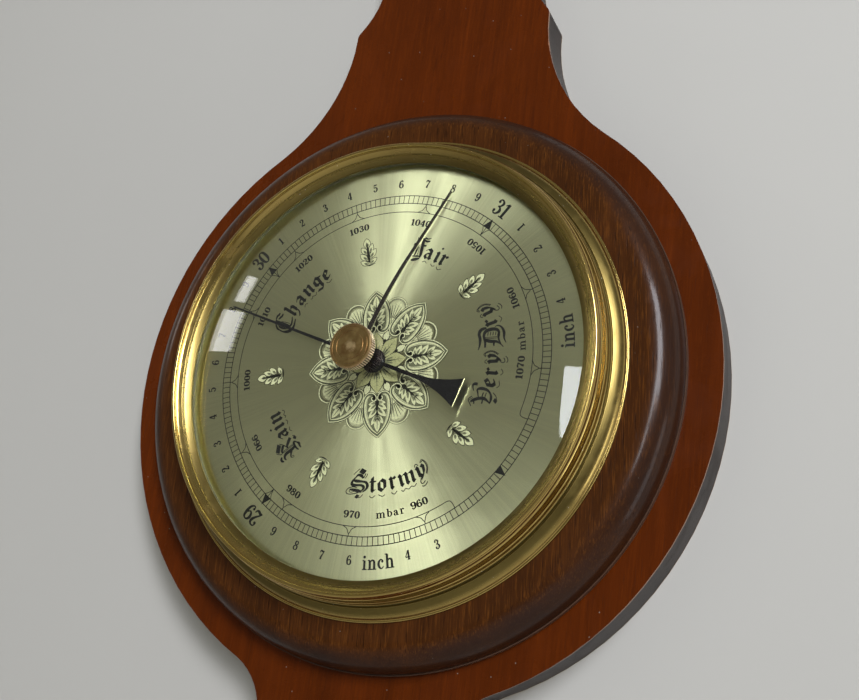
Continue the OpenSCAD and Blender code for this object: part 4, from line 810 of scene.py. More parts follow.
PEN_LETTERS = {
    "i": [stem(0), ("pen", 0.62, [(0.35, 5.2), (0.6, 4.9)]),
          ("hair", 0.15, [(-0.8, -0.75), (0, -1.25), (0.75, -0.8)])],
    "n": [stem(-0.85), stem(0.95), ("hair", 0.16, [(-0.8, 2.5), (0, 3.2), (0.65, 3.5)]),
          ("hair", 0.15,
           [(-1.4, -0.9), (-0.9, -1.3), (-0.3, -0.8), (0.3, -1.2), (0.9, -1.3), (1.5, -0.7)])],
    "m": [stem(-1.95), stem(-0.05), stem(1.85),
          ("hair", 0.16, [(-1.9, 2.5), (-1.1, 3.2), (-0.4, 3.5)]),
          ("hair", 0.16, [(0, 2.5), (0.8, 3.2), (1.5, 3.5)]),
          ("hair", 0.17,
           [(-2.6, -0.9), (-2, -1.4), (-1.2, -0.9), (-0.2, -1.35), (0.7, -0.85), (1.6, -1.2),
            (2.5, -0.6)])],
    "r": [stem(-0.4), ("pen", 0.85, [(0.45, 3.45), (0.85, 3.05)]),
          ("hair", 0.16, [(-0.4, 2.6), (0.1, 3.2), (0.6, 3.5)]),
          ("hair", 0.15, [(-0.9, -0.8), (0, -1.45), (1.05, -0.75)])],
    "t": [("pen", 1, [(-0.1, 4.35), (-0.1, 0.72), (0.25, 0.32), (0.55, 0.55)]),
          ("pen", 0.5, [(-0.85, 3.2), (0.95, 3.2)]),
          ("hair", 0.15, [(-1, -0.9), (-0.1, -1.5), (0.95, -0.9)])],
    "o": [("pen", 1, [(0, 3.5), (-0.92, 2.85), (-0.92, 0.95), (0.05, 0.3)]),
          ("pen", 1, [(-0.1, 3.5), (0.92, 2.85), (0.92, 0.95), (0.05, 0.3)]),
          ("hair", 0.15, [(-1.3, -0.75), (0, -1.4), (0.85, -1)])],
    "a": [("pen", 0.95, [(-0.95, 2.95), (-0.15, 3.5), (0.75, 2.95), (0.75, 0.72), (1.1, 0.35)]),
          ("pen", 0.8,
           [(0.6, 2.2), (-0.6, 1.8), (-0.85, 1.35), (-0.85, 0.85), (-0.3, 0.3), (0.6, 0.9)]),
          ("hair", 0.15, [(-0.85, -1.15), (-0.1, -0.65), (0.75, -1.1)])],
    "e": [("pen", 1, [(0.1, 3.5), (-0.75, 2.85), (-0.75, 0.95), (-0.1, 0.3), (0.85, 0.75)]),
          ("pen", 0.9, [(0.1, 3.45), (0.8, 2.75), (0.25, 2.05), (-0.6, 1.6)]),
          ("hair", 0.15, [(-1.2, -0.55), (-0.3, -1.2), (1, -0.75)])],
    "g": [("pen", 1, [(0, 3.5), (-0.9, 2.9), (-0.9, 1.25), (-0.05, 0.75), (0.7, 1.2)]),
          ("pen", 1, [(-0.1, 3.5), (0.85, 2.9), (0.85, 0.3), (1.1, -0.4), (0.5, -1.25)]),
          ("pen", 0.75, [(0.6, -1.2), (-1.25, -0.9)]), ("pen", 0.45, [(0.85, 3.15), (1.95, 2.95)])],
    "h": [("pen", 0.95, [(-1.2, 5.25), (-0.75, 4.85), (-0.75, 0.72), (-0.4, 0.3)]),
          ("hair", 0.2, [(-0.75, 2.4), (0, 3.1), (0.6, 3.5)]),
          ("pen", 0.95, [(0.45, 3.55), (1.05, 2.95), (1.05, 1.1)]),
          ("hair", 0.36, [(1.15, 1.4), (0.95, 0), (0.3, -0.9), (-0.3, -1.3)]),
          ("hair", 0.14, [(-1.35, 5.5), (-0.8, 5.3), (-0.45, 5.65)])],
    "y": [("pen", 1, [(-0.75, 3.55), (-0.4, 3.1), (-0.35, 1)]),
          ("pen", 0.95, [(-0.4, 1.2), (0.3, 0.55)]),
          ("pen", 0.95, [(0.95, 3.65), (1.45, 3.05), (1.25, 1.5), (0.1, -0.1)]),
          ("hair", 0.2,
           [(0.1, 0.3), (-0.6, -0.35), (-0.85, -1.1), (-0.5, -1.55), (0.1, -1.45), (0.6, -1.1)]),
          ("hair", 0.2, [(-0.9, -2.15), (-0.3, -2.45), (0.5, -2.2), (1.1, -1.7)]),
          ("hair", 0.2, [(1.2, 4.3), (1.9, 4.7), (2.45, 3.5), (2.4, 2.1), (1.6, 0.7)]),
          ("hair", 0.13, [(0.95, 4.45), (1.8, 5.1), (2.75, 3.6), (2.65, 2), (1.75, 0.4)]),
          ("hair", 0.18, [(-0.95, 3.85), (-0.75, 4.5), (-0.2, 4.5), (0.15, 3.9)])],
}

# Capitals in millimetres from the middle of their word. "line" rows hold (x, y, width).
CAPITALS = {
    "S": [("pen", 1.35, [(-8, 4.25), (-6.75, 3.3)]),
          ("hair", 0.16, [(-10.4, 3.4), (-9.4, 4.1), (-8.2, 4.75)]),
          ("hair", 0.22, [(-6.45, 3), (-6.9, 2.3), (-7.4, 1.75)]),
          ("hair", 0.16, [(-5.85, 2.8), (-6.3, 2.1), (-6.9, 1.6)]),
          ("line",
           [(-7.4, 1.8, 0.5), (-8, 2.65, 0.85), (-8.9, 3, 0.6), (-9.9, 2.4, 0.3), (-11, 1.5, 0.6),
            (-11.25, 0.75, 0.9), (-10.7, 0.3, 0.85), (-9.5, 0.05, 0.6), (-8.3, -0.2, 0.6),
            (-7.6, -0.8, 0.85), (-7.75, -1.4, 0.6), (-8.5, -1.9, 0.2)]),
          ("line",
           [(-10.8, 1.75, 0.25), (-9.7, 1.35, 0.85), (-7.9, 0.85, 0.55), (-6.65, 0.3, 0.7),
            (-6.3, -0.8, 0.85), (-7, -1.75, 0.5), (-8.1, -2.25, 0.25)]),
          ("line", [(-12.2, -0.7, 0.35), (-11.1, -1, 0.7), (-9.6, -1.6, 0.95), (-8.3, -2.15, 0.5)]),
          ("hair", 0.2,
           [(-9.7, -0.65), (-10.9, -0.2), (-12.4, -0.25), (-13.35, -1), (-13, -1.85), (-11.5, -2.2),
            (-9.4, -2.2)]),
          ("hair", 0.14, [(-11.9, -0.75), (-12.35, -1.25), (-11.7, -1.65), (-10.6, -1.5)]),
          ("pen", 1, [(-10.3, -3), (-9.6, -3.45)]),
          ("hair", 0.18, [(-9.6, -3.7), (-8.8, -3.6), (-8, -3)])],
    "R": [("line", [(-7.4, 3.45, 0.2), (-6.9, 3.95, 0.6), (-6.2, 3.95, 0.7), (-5.7, 3.45, 0.4)]),
          ("line",
           [(-7.4, 2.55, 0.2), (-6.7, 2.75, 0.55), (-5.95, 2.4, 0.8), (-5.6, 1.4, 0.95),
            (-5.6, 0, 0.95), (-5.5, -1.2, 0.85), (-5.2, -2, 0.5)]),
          ("line", [(-7.9, 0.4, 0.15), (-7.5, 0.75, 0.3), (-6.6, 0.3, 0.5), (-5.8, -0.4, 0.6)]),
          ("hair", 0.13, [(-7.9, 0.45), (-8.05, -0.1), (-7.6, -0.15), (-7.45, 0.3)]),
          ("hair", 0.17, [(-4.75, 3.6), (-4.72, 1), (-4.7, -1.7)]),
          ("hair", 0.13, [(-4.35, 2.2), (-4.35, 0.6), (-4.35, -1.6)]),
          ("pen", 1.25, [(-3.6, 4), (-1.75, 2.45)]),
          ("hair", 0.16, [(-4.9, 3.1), (-4.3, 3.9), (-3.5, 4.55)]),
          ("line", [(-4.75, 2.3, 0.2), (-4.2, 2.6, 0.6), (-3.4, 2, 0.8), (-2.7, 1.35, 0.8)]),
          ("hair", 0.22, [(-1.5, 2.2), (-2.5, 1.3), (-4, 0.4)]),
          ("line", [(-4.4, 0.45, 0.3), (-3.6, 0.2, 0.7), (-2.8, -0.7, 0.95), (-1.95, -1.85, 0.9)]),
          ("line",
           [(-7.1, -2.6, 0.2), (-6.5, -2.2, 0.45), (-5, -1.95, 0.65), (-4, -2.25, 0.6),
            (-4.3, -2.85, 0.3), (-5.1, -3.45, 0.2)]),
          ("line", [(-7, -3.5, 0.2), (-6.3, -3.4, 0.5), (-5.3, -3.5, 0.7), (-4.6, -3, 0.2)]),
          ("pen", 0.95, [(-3.15, -2.95), (-2.65, -3.4)]),
          ("hair", 0.18, [(-2.6, -3.6), (-2.2, -3.2), (-1.85, -2.85)])],
    "C": [("line",
           [(-13.1, 0, 0.3), (-13.2, 1, 0.5), (-12.7, 2.3, 0.42), (-11.8, 3.3, 0.25),
            (-10.9, 4, 0.2)]),
          ("line",
           [(-13.1, 0, 0.3), (-12.7, -1.5, 0.4), (-11.6, -2.85, 0.95), (-10.2, -3.5, 0.95),
            (-8.8, -3.2, 0.6), (-7, -2, 0.25)]),
          ("line",
           [(-11.8, 2.1, 0.25), (-12.1, 0.8, 0.85), (-11.6, -0.75, 0.95), (-10.5, -1.95, 0.85),
            (-9.2, -2.1, 0.55), (-8.2, -1.5, 0.42), (-7.2, -0.5, 0.2)]),
          ("line", [(-11.7, 3.6, 0.35), (-11.2, 1.8, 0.6), (-10.5, -0.2, 0.6), (-10, -1.7, 0.4)]),
          ("hair", 0.13, [(-10.7, 1.6), (-10, 0.2), (-9.3, -1.5)]),
          ("line", [(-11.2, 3.8, 0.3), (-10.2, 4.15, 0.6), (-9.6, 3.95, 0.55), (-9, 4.2, 0.4)]),
          ("line", [(-10.8, 3, 0.3), (-9.9, 2.85, 0.6), (-9.2, 2.75, 0.55), (-8.5, 3, 0.4)])],
    "F": [("line",
           [(-4.85, 4.1, 0.8), (-4.55, 2.5, 0.95), (-4, 0.4, 1), (-3.55, -1.2, 0.8),
            (-3.4, -2.2, 0.35)]),
          ("line", [(-5.7, 1.6, 0.4), (-5.5, -0.4, 0.55), (-5.45, -2, 0.4)]),
          ("hair", 0.14, [(-5.1, 0.9), (-4.75, -0.6), (-4.6, -2)]),
          ("line", [(-4.7, 4.25, 0.55), (-3.6, 4.2, 0.35), (-2.6, 4.75, 0.15)]),
          ("line", [(-4.4, 3.45, 0.5), (-3.4, 3.4, 0.6), (-2.55, 3.8, 0.35)]),
          ("line", [(-4.1, 1.85, 0.5), (-3.5, 1.85, 0.5), (-3.05, 2.1, 0.35)]),
          ("line", [(-7.25, 0.85, 0.15), (-7, 1.5, 0.4), (-5.8, 1.5, 0.5)]),
          ("hair", 0.2, [(-7, 3.7), (-6.6, 2.6), (-6.2, 1.6)]),
          ("line", [(-6, -2.5, 0.3), (-4.6, -2.1, 0.45), (-3.4, -1.75, 0.4)]),
          ("line", [(-5.9, -3.9, 0.3), (-4.8, -3.35, 0.95), (-3.3, -2.4, 0.4)]),
          ("hair", 0.15, [(-7.3, -2.6), (-6.6, -2.3), (-6, -2.5)])],
    "V": [("hair", 0.22, [(-14.9, 4.1), (-13.9, 4.6), (-13, 5), (-12.4, 4.6), (-11.95, 3.85)]),
          ("hair", 0.13, [(-13.1, 4.7), (-12.7, 4.2), (-12.4, 3.5)]),
          ("line",
           [(-13.6, 4.35, 0.5), (-13.1, 3.3, 0.85), (-12.75, 1.7, 0.85), (-12.9, 0.2, 0.85),
            (-13.6, -0.8, 0.5), (-14.5, -1.7, 0.2)]),
          ("hair", 0.35, [(-14.3, 3.3), (-13.7, 3.25), (-13.1, 3.5)]),
          ("hair", 0.35, [(-14.4, 0.85), (-13.8, 0.7), (-13, 0.6)]),
          ("line",
           [(-10.4, 3.5, 0.15), (-9.3, 3.75, 0.3), (-8.6, 3.7, 0.6), (-8.35, 3.1, 0.8),
            (-8.5, 2.3, 0.75)]),
          ("line",
           [(-12.4, 1.95, 0.2), (-11.2, 2.15, 0.3), (-10.1, 2.3, 0.5), (-9.85, 1, 0.85),
            (-10.5, -0.8, 0.65), (-11.7, -1.75, 0.45), (-13, -1.95, 0.7), (-14.4, -1.6, 0.2)]),
          ("hair", 0.3, [(-12.5, 0.8), (-11.8, 0.7), (-11.1, 0.4)]),
          ("hair", 0.2, [(-12.6, -0.1), (-11.9, -0.2), (-11.2, -0.5)]),
          ("pen", 1.05, [(-14.1, -3), (-13.4, -3.5)]),
          ("hair", 0.18, [(-13.4, -3.7), (-12.4, -3.4), (-11.3, -2.5)])],
    "D": [("line",
           [(1.75, 2.75, 0.15), (3, 2.4, 0.45), (5, 2.3, 0.8), (6.75, 2.7, 0.85), (8, 2, 0.95),
            (8.4, 0.5, 0.5)]),
          ("line",
           [(2.4, 0.65, 0.5), (4, 0.7, 0.6), (6, 1.2, 0.7), (7.4, 0.6, 0.95), (7.9, -1, 0.95),
            (7.8, -2.5, 0.85), (7, -3.4, 0.6), (5.5, -3.5, 0.4)]),
          ("line",
           [(4.7, 0.8, 0.85), (4.2, -1, 0.95), (4.05, -2.7, 0.7), (3.3, -4, 0.3), (2.3, -5, 0.15)]),
          *[("hair", 0.13, [(x, 0.8), (x, -1), (x, -2.9)]) for x in (5.1, 5.5)],
          *[("hair", 0.18, [(6, y), (6.5, y - 0.05), (7.1, y - 0.1)])
            for y in (0, -0.8, -1.6, -2.4)],
          ("line", [(2.7, -2.1, 0.2), (3.4, -2, 0.5), (4.2, -2.1, 0.5)]),
          ("line", [(3.2, -4.2, 0.2), (4.6, -3.5, 0.45), (6, -3.3, 0.6), (7.2, -3.5, 0.4)]),
          ("line",
           [(3.5, -5.75, 0.12), (5, -5.1, 0.45), (6.75, -5, 0.75), (8.25, -4.25, 0.5),
            (8.9, -3.2, 0.3), (8.7, -2.1, 0.15)])],
}

# Weather words: where the word's middle stands (clockwise angle, radius), whether its tops point
# outwards, its capital, and its letters at their angles from that middle.
WORDS = [
    (-44.4, 35.9, True, "C", [("h", -8.6), ("a", -2.35), ("n", 3.9), ("g", 9.9), ("e", 15.7)]),
    (-120.2, 37.4, True, "R", [("a", 0.77), ("i", 5.4), ("n", 10.2)]),
    (30.6, 37.1, True, "F", [("a", -1.7), ("i", 3.3), ("r", 7.2)]),
    (175.4, 36.3, False, "S", [("t", -7.07), ("o", -2.48), ("r", 2.84), ("m", 9.8), ("y", 16.4)]),
    (95.5, 35.5, False, "V", [("e", -12.6), ("r", -7.6), ("y", -2.3)]),
    (95.5, 35.5, False, "D", [("r", 15.6), ("y", 20.9)]),
]
OUT_BASE, IN_BASE = 35.1, 39.65
# What the ink spreads past the drawn widths: of broad moves as a share, of the others in mm.
PEN_SPREAD, HAIR_SPREAD, LINE_SPREAD = 1.14, 0.07, 0.10


def on_arc(radius, turn, outward):
    """A move that stands a shape on an arc: its up points away from the centre, or towards it."""
    up = polar(1.0, turn) * (1 if outward else -1)
    right = np.array([up[1], -up[0]])
    start = polar(radius, turn)
    return lambda p: start + p[:, :1] * right + p[:, 1:2] * up


def draw_roman(ink, character, move, bold=0.0):
    """Draws one Roman character."""
    for line in ROMAN[character][1]:
        ink.put(stroke(line, 4, bold), move)
    for x, y, r in ROMAN[character][2]:
        ink.put(disc(x, y, r + bold / 4), move)


def lay_roman(ink, text, radius, turn, height, outward, gap=0.07, wide=1.0, bold=0.05):
    """Sets Roman characters along an arc, centred on a clockwise angle at a middle radius."""
    side = 1 if outward else -1
    widths = [ROMAN[character][0] * height * wide for character in text]
    at = -(sum(widths) + gap * height * (len(text) - 1)) / 2
    for character, width in zip(text, widths):
        angle = turn + math.degrees((at + width / 2) / radius) * side
        stand = on_arc(radius - side * height / 2, angle, outward)
        draw_roman(ink, character,
                   lambda p: stand(p * (height * wide, height) - (width / 2, 0)), bold)
        at += width + gap * height


def lay_pen(ink, rows, move):
    """Draws one pen letter or capital."""
    for kind, *width, points in rows:
        if kind == "pen":
            ink.put(pen(points, width[0] * PEN_SPREAD), move)
        elif kind == "hair":
            ink.put(ribbon(spline(points, 5), width[0] + HAIR_SPREAD), move)
        else:
            ink.put(stroke(points, 5, LINE_SPREAD), move)


def inch_turn(value):
    """The clockwise angle at which a value in inches stands."""
    return (value - FIRST_INCH) * DEG_PER_INCH


def millibar_turn(value):
    """The clockwise angle at which a value in millibars stands."""
    return MILLIBAR_TURN + DEG_PER_MILLIBAR * (value - FIRST_MILLIBAR)


# ---------------------------------------------------------------- operators

# Nodes that are blackened, whatever their slot: those that pass through the glass, and the boss.
BLACKENED = ("glass_bush", "set_spindle", "bush_nut", "hand_boss")


class BAROMETER_OT_finishes(bpy.types.Operator):
    """Makes the finishes and gives each frame part the finish of its slot"""

    bl_idname = "barometer.finishes"
    bl_label = "Finish the frame"

    def execute(self, context):
        make_finishes(context.scene.barometer_finish)
        for part in frame["record"]["subparts"]:
            obj = frame["nodes"][part["node"]]
            black = part["node"] in BLACKENED
            finish = FINISHES["boss_black" if black else part["material_slot"]]
            for slot in obj.material_slots:
                slot.material = finish
            if not obj.material_slots:
                obj.data.materials.append(finish)
        return {"FINISHED"}


def bead(r, h, size, first, last, steps=7):
    """Points on an arc round (r, h), from one angle to another, 0 outwards and 90 to the front."""
    a = np.radians(np.linspace(first, last, steps))
    return np.stack([r + size * np.cos(a), h + size * np.sin(a)], 1)


# The bezel's section as (radius, height) rows in millimetres: up the flange, over the beads of the
# wall and the crest, down the inner slope to the lip, and back along the inside of the sheet.
BEZEL_SECTION = np.concatenate([[(76.3, 25.6), (76.3, 25.8)], bead(75.95, 25.98, 0.35, 0, 100),
                                [(75.74, 26.3), (75.62, 26.34)],
                                spline([(75.52, 26.5), (75.1, 27.2), (74.6, 27.76), (74, 28.22),
                                        (73.3, 28.62), (72.7, 28.92), (72.4, 29.06)], 3),
                                [(72.26, 29.06), (72.1, 28.94), (71.98, 28.92), (71.9, 29),
                                 (71.84, 29.16)], bead(71.62, 29.72, 0.36, -55, 60),
                                [(71.62, 30.2), (71.54, 30.6), (71.46, 31.1)],
                                bead(71.12, 31.65, 0.34, -45, 50),
                                [(71.2, 32.15), (71.1, 32.8), (71, 33.5), (70.94, 34.2),
                                 (70.9, 34.5)], bead(70.62, 34.92, 0.3, -45, 55),
                                [(70.66, 35.35), (70.56, 35.85), (70.46, 36.3), (70.4, 36.6)],
                                bead(69.7, 37, 0.6, -25, 200, 13),
                                [(69.06, 36.72), (68.98, 36.68), (68.9, 36.72), (68.8, 36.74)],
                                spline([(68.72, 36.7), (68.4, 36.44), (68, 36.02), (67.7, 35.68),
                                        (67.55, 35.5)], 3), [(67.46, 35.44)],
                                bead(67.34, 35.26, 0.18, 70, 200, 6), [(67.12, 35), (67.02, 34.9)],
                                spline([(66.9, 34.84), (66.5, 34.54), (66, 34.12), (65.6, 33.76)],
                                       3), [(65.52, 33.68)], bead(65.4, 33.42, 0.2, 80, 190, 6),
                                [(65.2, 33.08), (67.5, 32.28), (67.5, 25.6), (68.4, 25.6),
                                 (68.4, 32.8), (69.7, 36.1), (70.3, 31.55), (70.5, 28.7),
                                 (74.32, 25.6)]])


def turned(section, sides=360):
    """A closed section carried round the dial's axis: each point keeps its height in front of the
    wall and goes round a circle of its own radius."""
    a = np.linspace(0, 2 * np.pi, sides, endpoint=False)[:, None]
    r, h = section.T / 1000
    n = len(h)
    points = np.stack([DIAL_X + r * np.sin(a), np.broadcast_to(-h, (sides, n)),
                       DIAL_Z + r * np.cos(a)], -1)
    i, j = np.meshgrid(np.arange(sides), np.arange(n), indexing="ij")
    i2, j2 = (i + 1) % sides, (j + 1) % n
    faces = np.stack([i * n + j, i * n + j2, i2 * n + j2, i2 * n + j], -1).reshape(-1, 4)
    return points.reshape(-1, 3), faces


class BAROMETER_OT_bezel(bpy.types.Operator):
    """Spins the bezel with its beads and grooves"""

    bl_idname = "barometer.bezel"
    bl_label = "Spin the bezel"

    def execute(self, context):
        points, faces = turned(BEZEL_SECTION)
        piece = make_piece("spun_bezel", points, faces.tolist(), "bezel_brass")
        piece.data.polygons.foreach_set("use_smooth", np.ones(len(faces), bool))
        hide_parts("bezel")
        return {"FINISHED"}


# Whole inch marks: how far the tip passes the track, and half the foot's width in degrees.
MARK_TIP, MARK_HALF = 0.55, 1.45


class BAROMETER_OT_scale(bpy.types.Operator):
    """Prints the track, its divisions, the whole inch marks and the inner millibar line"""

    bl_idname = "barometer.scale_lines"
    bl_label = "Print the scale lines"

    def execute(self, context):
        look = context.scene.barometer_print
        w = look.line * 1000
        ink = FlatPrint()
        for r in (TRACK_R, TRACK_FOOT_R):
            ink.put(arc_band(r - w / 2, r + w / 2, -180, 180))
        for k in range(TRACK_PARTS):
            ink.put(ribbon(spoke(TRACK_FOOT_R, TRACK_R, 360 / TRACK_PARTS * k), w * 0.85))
        for value in (28, 29, 30, 31):
            turn = inch_turn(value)
            left, right = (polar(TRACK_FOOT_R, turn + side * MARK_HALF) for side in (-1, 1))
            ink.put(blob([left, polar(TRACK_R + MARK_TIP, turn), right]))
            if value != 28:
                for side in (-1, 1):
                    curve = [polar(TRACK_FOOT_R, turn + side * 1.5),
                             polar(TRACK_FOOT_R - 1.3, turn + side * 0.55), polar(INNER_R, turn)]
                    ink.put(ribbon(spline(curve), w * 0.8))
                ink.put(ribbon(spoke(TRACK_FOOT_R, INNER_R, turn), w * 0.8))
        # Inner line: open between its two rounded ends, which rise to the track.
        first, last = INNER_ENDS
        ink.put(arc_band(INNER_R - w * 0.45, INNER_R + w * 0.45, first + 1.6, last - 1.6))
        for end, side in ((first, 1), (last, -1)):
            curve = [polar(TRACK_FOOT_R, end), polar(INNER_R + 1.2, end + side * 0.06),
                     polar(INNER_R + 0.3, end + side * 0.55), polar(INNER_R, end + side * 1.6)]
            ink.put(ribbon(spline(curve, 8), w * 0.9))
        for value in MILLIBARS:
            if value == 1050:
                continue
            turn = millibar_turn(value)
            ink.put(ribbon(spoke(TRACK_FOOT_R, TRACK_FOOT_R - 0.9, turn), w))
            for side in (-1, 1):
                curve = [polar(TRACK_FOOT_R - 0.7, turn),
                         polar(TRACK_FOOT_R - 1.15, turn + side * 0.35),
                         polar(INNER_R + 0.75, turn + side), polar(INNER_R, turn + side * 2.6)]
                ink.put(ribbon(spline(curve), w * 0.9))
        ink.finish("scale_lines", "ink", look.lift)
        return {"FINISHED"}


# Middle radii of the whole inches, the tenths and the word inch, and the heights of the words and
# of the millibar numbers, in millimetres. The word mbar stands at two angles.
WHOLE_R, TENTH_R, INCH_R = 59.7, 59.1, 59.6
INCH_HEIGHT, MILLIBAR_HEIGHT, MBAR_HEIGHT = 4.15, 2.1, 2.4
MBAR_TURNS = (175.2, 89.0)


class BAROMETER_OT_numerals(bpy.types.Operator):
    """Prints the plain numbers and units of both scales"""

    bl_idname = "barometer.numerals"
    bl_label = "Print the numbers"

    def execute(self, context):
        look = context.scene.barometer_print
        small, whole = look.digit * 1000, look.whole_digit * 1000
        ink = FlatPrint()
        for tenths in range(283, 315):
            if tenths == 285:
                continue
            turn, upper = inch_turn(tenths / 10), 290 <= tenths <= 310
            if tenths % 10 == 0:
                lay_roman(ink, str(tenths // 10), WHOLE_R, turn, whole, upper, 0.02, 1.0, 0.035)
            else:
                lay_roman(ink, str(tenths % 10), TENTH_R, turn, small, upper)
        for value in (28.5, 31.5):
            turn = inch_turn(value)
            lay_roman(ink, "inch", INCH_R, turn, INCH_HEIGHT, False, 0.03, 1.0, 0.035)
        for value in MILLIBARS:
            turn, upper = millibar_turn(value), 1000 <= value <= 1040
            lay_roman(ink, str(value), MILLIBAR_R, turn, MILLIBAR_HEIGHT, upper, 0.10, 1.36, 0.065)
        for turn in MBAR_TURNS:
            lay_roman(ink, "mbar", MILLIBAR_R, turn, MBAR_HEIGHT, False, 0.08, 1.25, 0.02)
        ink.finish("numerals", "ink", look.lift)
        return {"FINISHED"}


class BAROMETER_OT_words(bpy.types.Operator):
    """Writes the weather words with a broad pen along their arcs"""

    bl_idname = "barometer.weather_words"
    bl_label = "Write the weather words"

    def execute(self, context):
        ink = FlatPrint()
        for turn, radius, outward, capital, letters in WORDS:
            base, side = (OUT_BASE, 1) if outward else (IN_BASE, -1)
            lay_pen(ink, CAPITALS[capital], on_arc(radius, turn, outward))
            for letter, angle in letters:
                lay_pen(ink, PEN_LETTERS[letter], on_arc(base, turn + angle * side, outward))
        ink.finish("weather_words", "ink", context.scene.barometer_print.lift)
        return {"FINISHED"}


LEAF_EDGE = [(0, 23.25), (1.3, 22.2), (2.6, 20.9), (3.9, 18.9), (4.65, 16.5), (4.85, 14),
             (4.65, 11.8), (3.95, 10.2), (2.95, 9.5), (2, 9.4), (1.15, 9.7), (0.5, 10.35),
             (0.22, 11.2), (0.55, 11.85), (1.25, 11.95), (1.75, 11.5), (1.8, 10.95), (1.45, 10.75)]
LEAF_BAND = [(0, 22.2, 0.25), (1.7, 20.7, 0.5), (2.95, 18.6, 0.75), (3.7, 15.8, 0.95),
             (3.8, 13.2, 0.95), (3.45, 11.3, 0.8), (2.75, 10.45, 0.55), (2.1, 10.35, 0.3)]
LEAF_PAIRS = [((0.15, 16.5), (2.05, 19.4), 0.72), ((0.25, 14.7), (2.95, 17.2), 0.86),
              ((0.35, 13.2), (3.15, 15), 0.8), ((0.55, 12.4), (2.85, 13), 0.58)]
PETAL = [(0, 9.8), (0.8, 8.9), (1.55, 7.9), (2.15, 6.9), (2.25, 5.8), (1.9, 4.6), (1.45, 3.6),
         (0.9, 2.7)]
SPRIG = [((-0.1, 2), (-0.25, 5.2), 1.15), ((0.75, 0.2), (1.65, 3), 0.78),
         ((0.8, -1.5), (2.75, 0.9), 0.88), ((0.6, -3.5), (2.8, -2.2), 0.68),
         ((-0.6, 0.1), (-2.2, 2.4), 0.82), ((-0.5, -2.1), (-2.75, 0.2), 0.84),
         ((-0.4, -3.8), (-2.7, -2.3), 0.74)]
SPRIG_STEM = [(-0.3, 3.9, 0.1), (-0.15, 2.2, 0.5), (0, 0.4, 0.75), (0.12, -1.4, 0.85),
              (0.2, -3.2, 0.5)]
SPRIG_FOOT = [(-0.7, -4.15, 0.12), (0.3, -4.2, 0.42), (1.3, -4.1, 0.3), (2.3, -3.9, 0.08)]
SPRIG_VEINS = [((0.1, -0.2), (1.3, 0.5)), ((0.1, -2.4), (1.6, -1.7)), ((0, -0.9), (-1.3, -0.1)),
               ((0.1, -2.9), (-1.2, -2.2)), ((0, 1.4), (0.75, 2.3))]
# A leaflet's dark rim past its base, its tip and its sides, and its shading's start, end and
# share of the width: on the rosette's leaves, and on the sprigs.
ROSETTE_RIM, ROSETTE_SHADING = (0.16, 0.16, 0.15), (0.0, 0.62, 0.40)
SPRIG_RIM, SPRIG_SHADING = (0.15, 0.24, 0.18), (0.05, 0.55, 0.45)
SPRIG_TURNS, SPRIG_R = (-4.2, 58.6, 134.5, -148.0, -88.2), 36.85
# Radii of the middle of the lobes' lines and of the foot of their fans.
LOBE_R, FAN_R = 17.6, 12.6
# The ornament's layers from the lowest up, as (piece, ink).
LAYERS = (("lobe_ground", "deep_ink"), ("lobe_fans", "pale_ink"), ("leaf_ground", "shade_ink"),
          ("leaf_outlines", "deep_ink"), ("star_petals", "petal_ink"), ("leaf_pale", "pale_ink"),
          ("leaf_shading", "shade_ink"), ("leaf_veins", "deep_ink"))
SIDES = (np.array([1, 1]), np.array([-1, 1]))


def ornament_turn(turn, lift=0.0):
    """Turns a shape drawn with its axis up by a clockwise angle, after raising it."""
    a = math.radians(turn)
    m = np.array([[math.cos(a), -math.sin(a)], [math.sin(a), math.cos(a)]])
    return lambda p: (p + (0, lift)) @ m


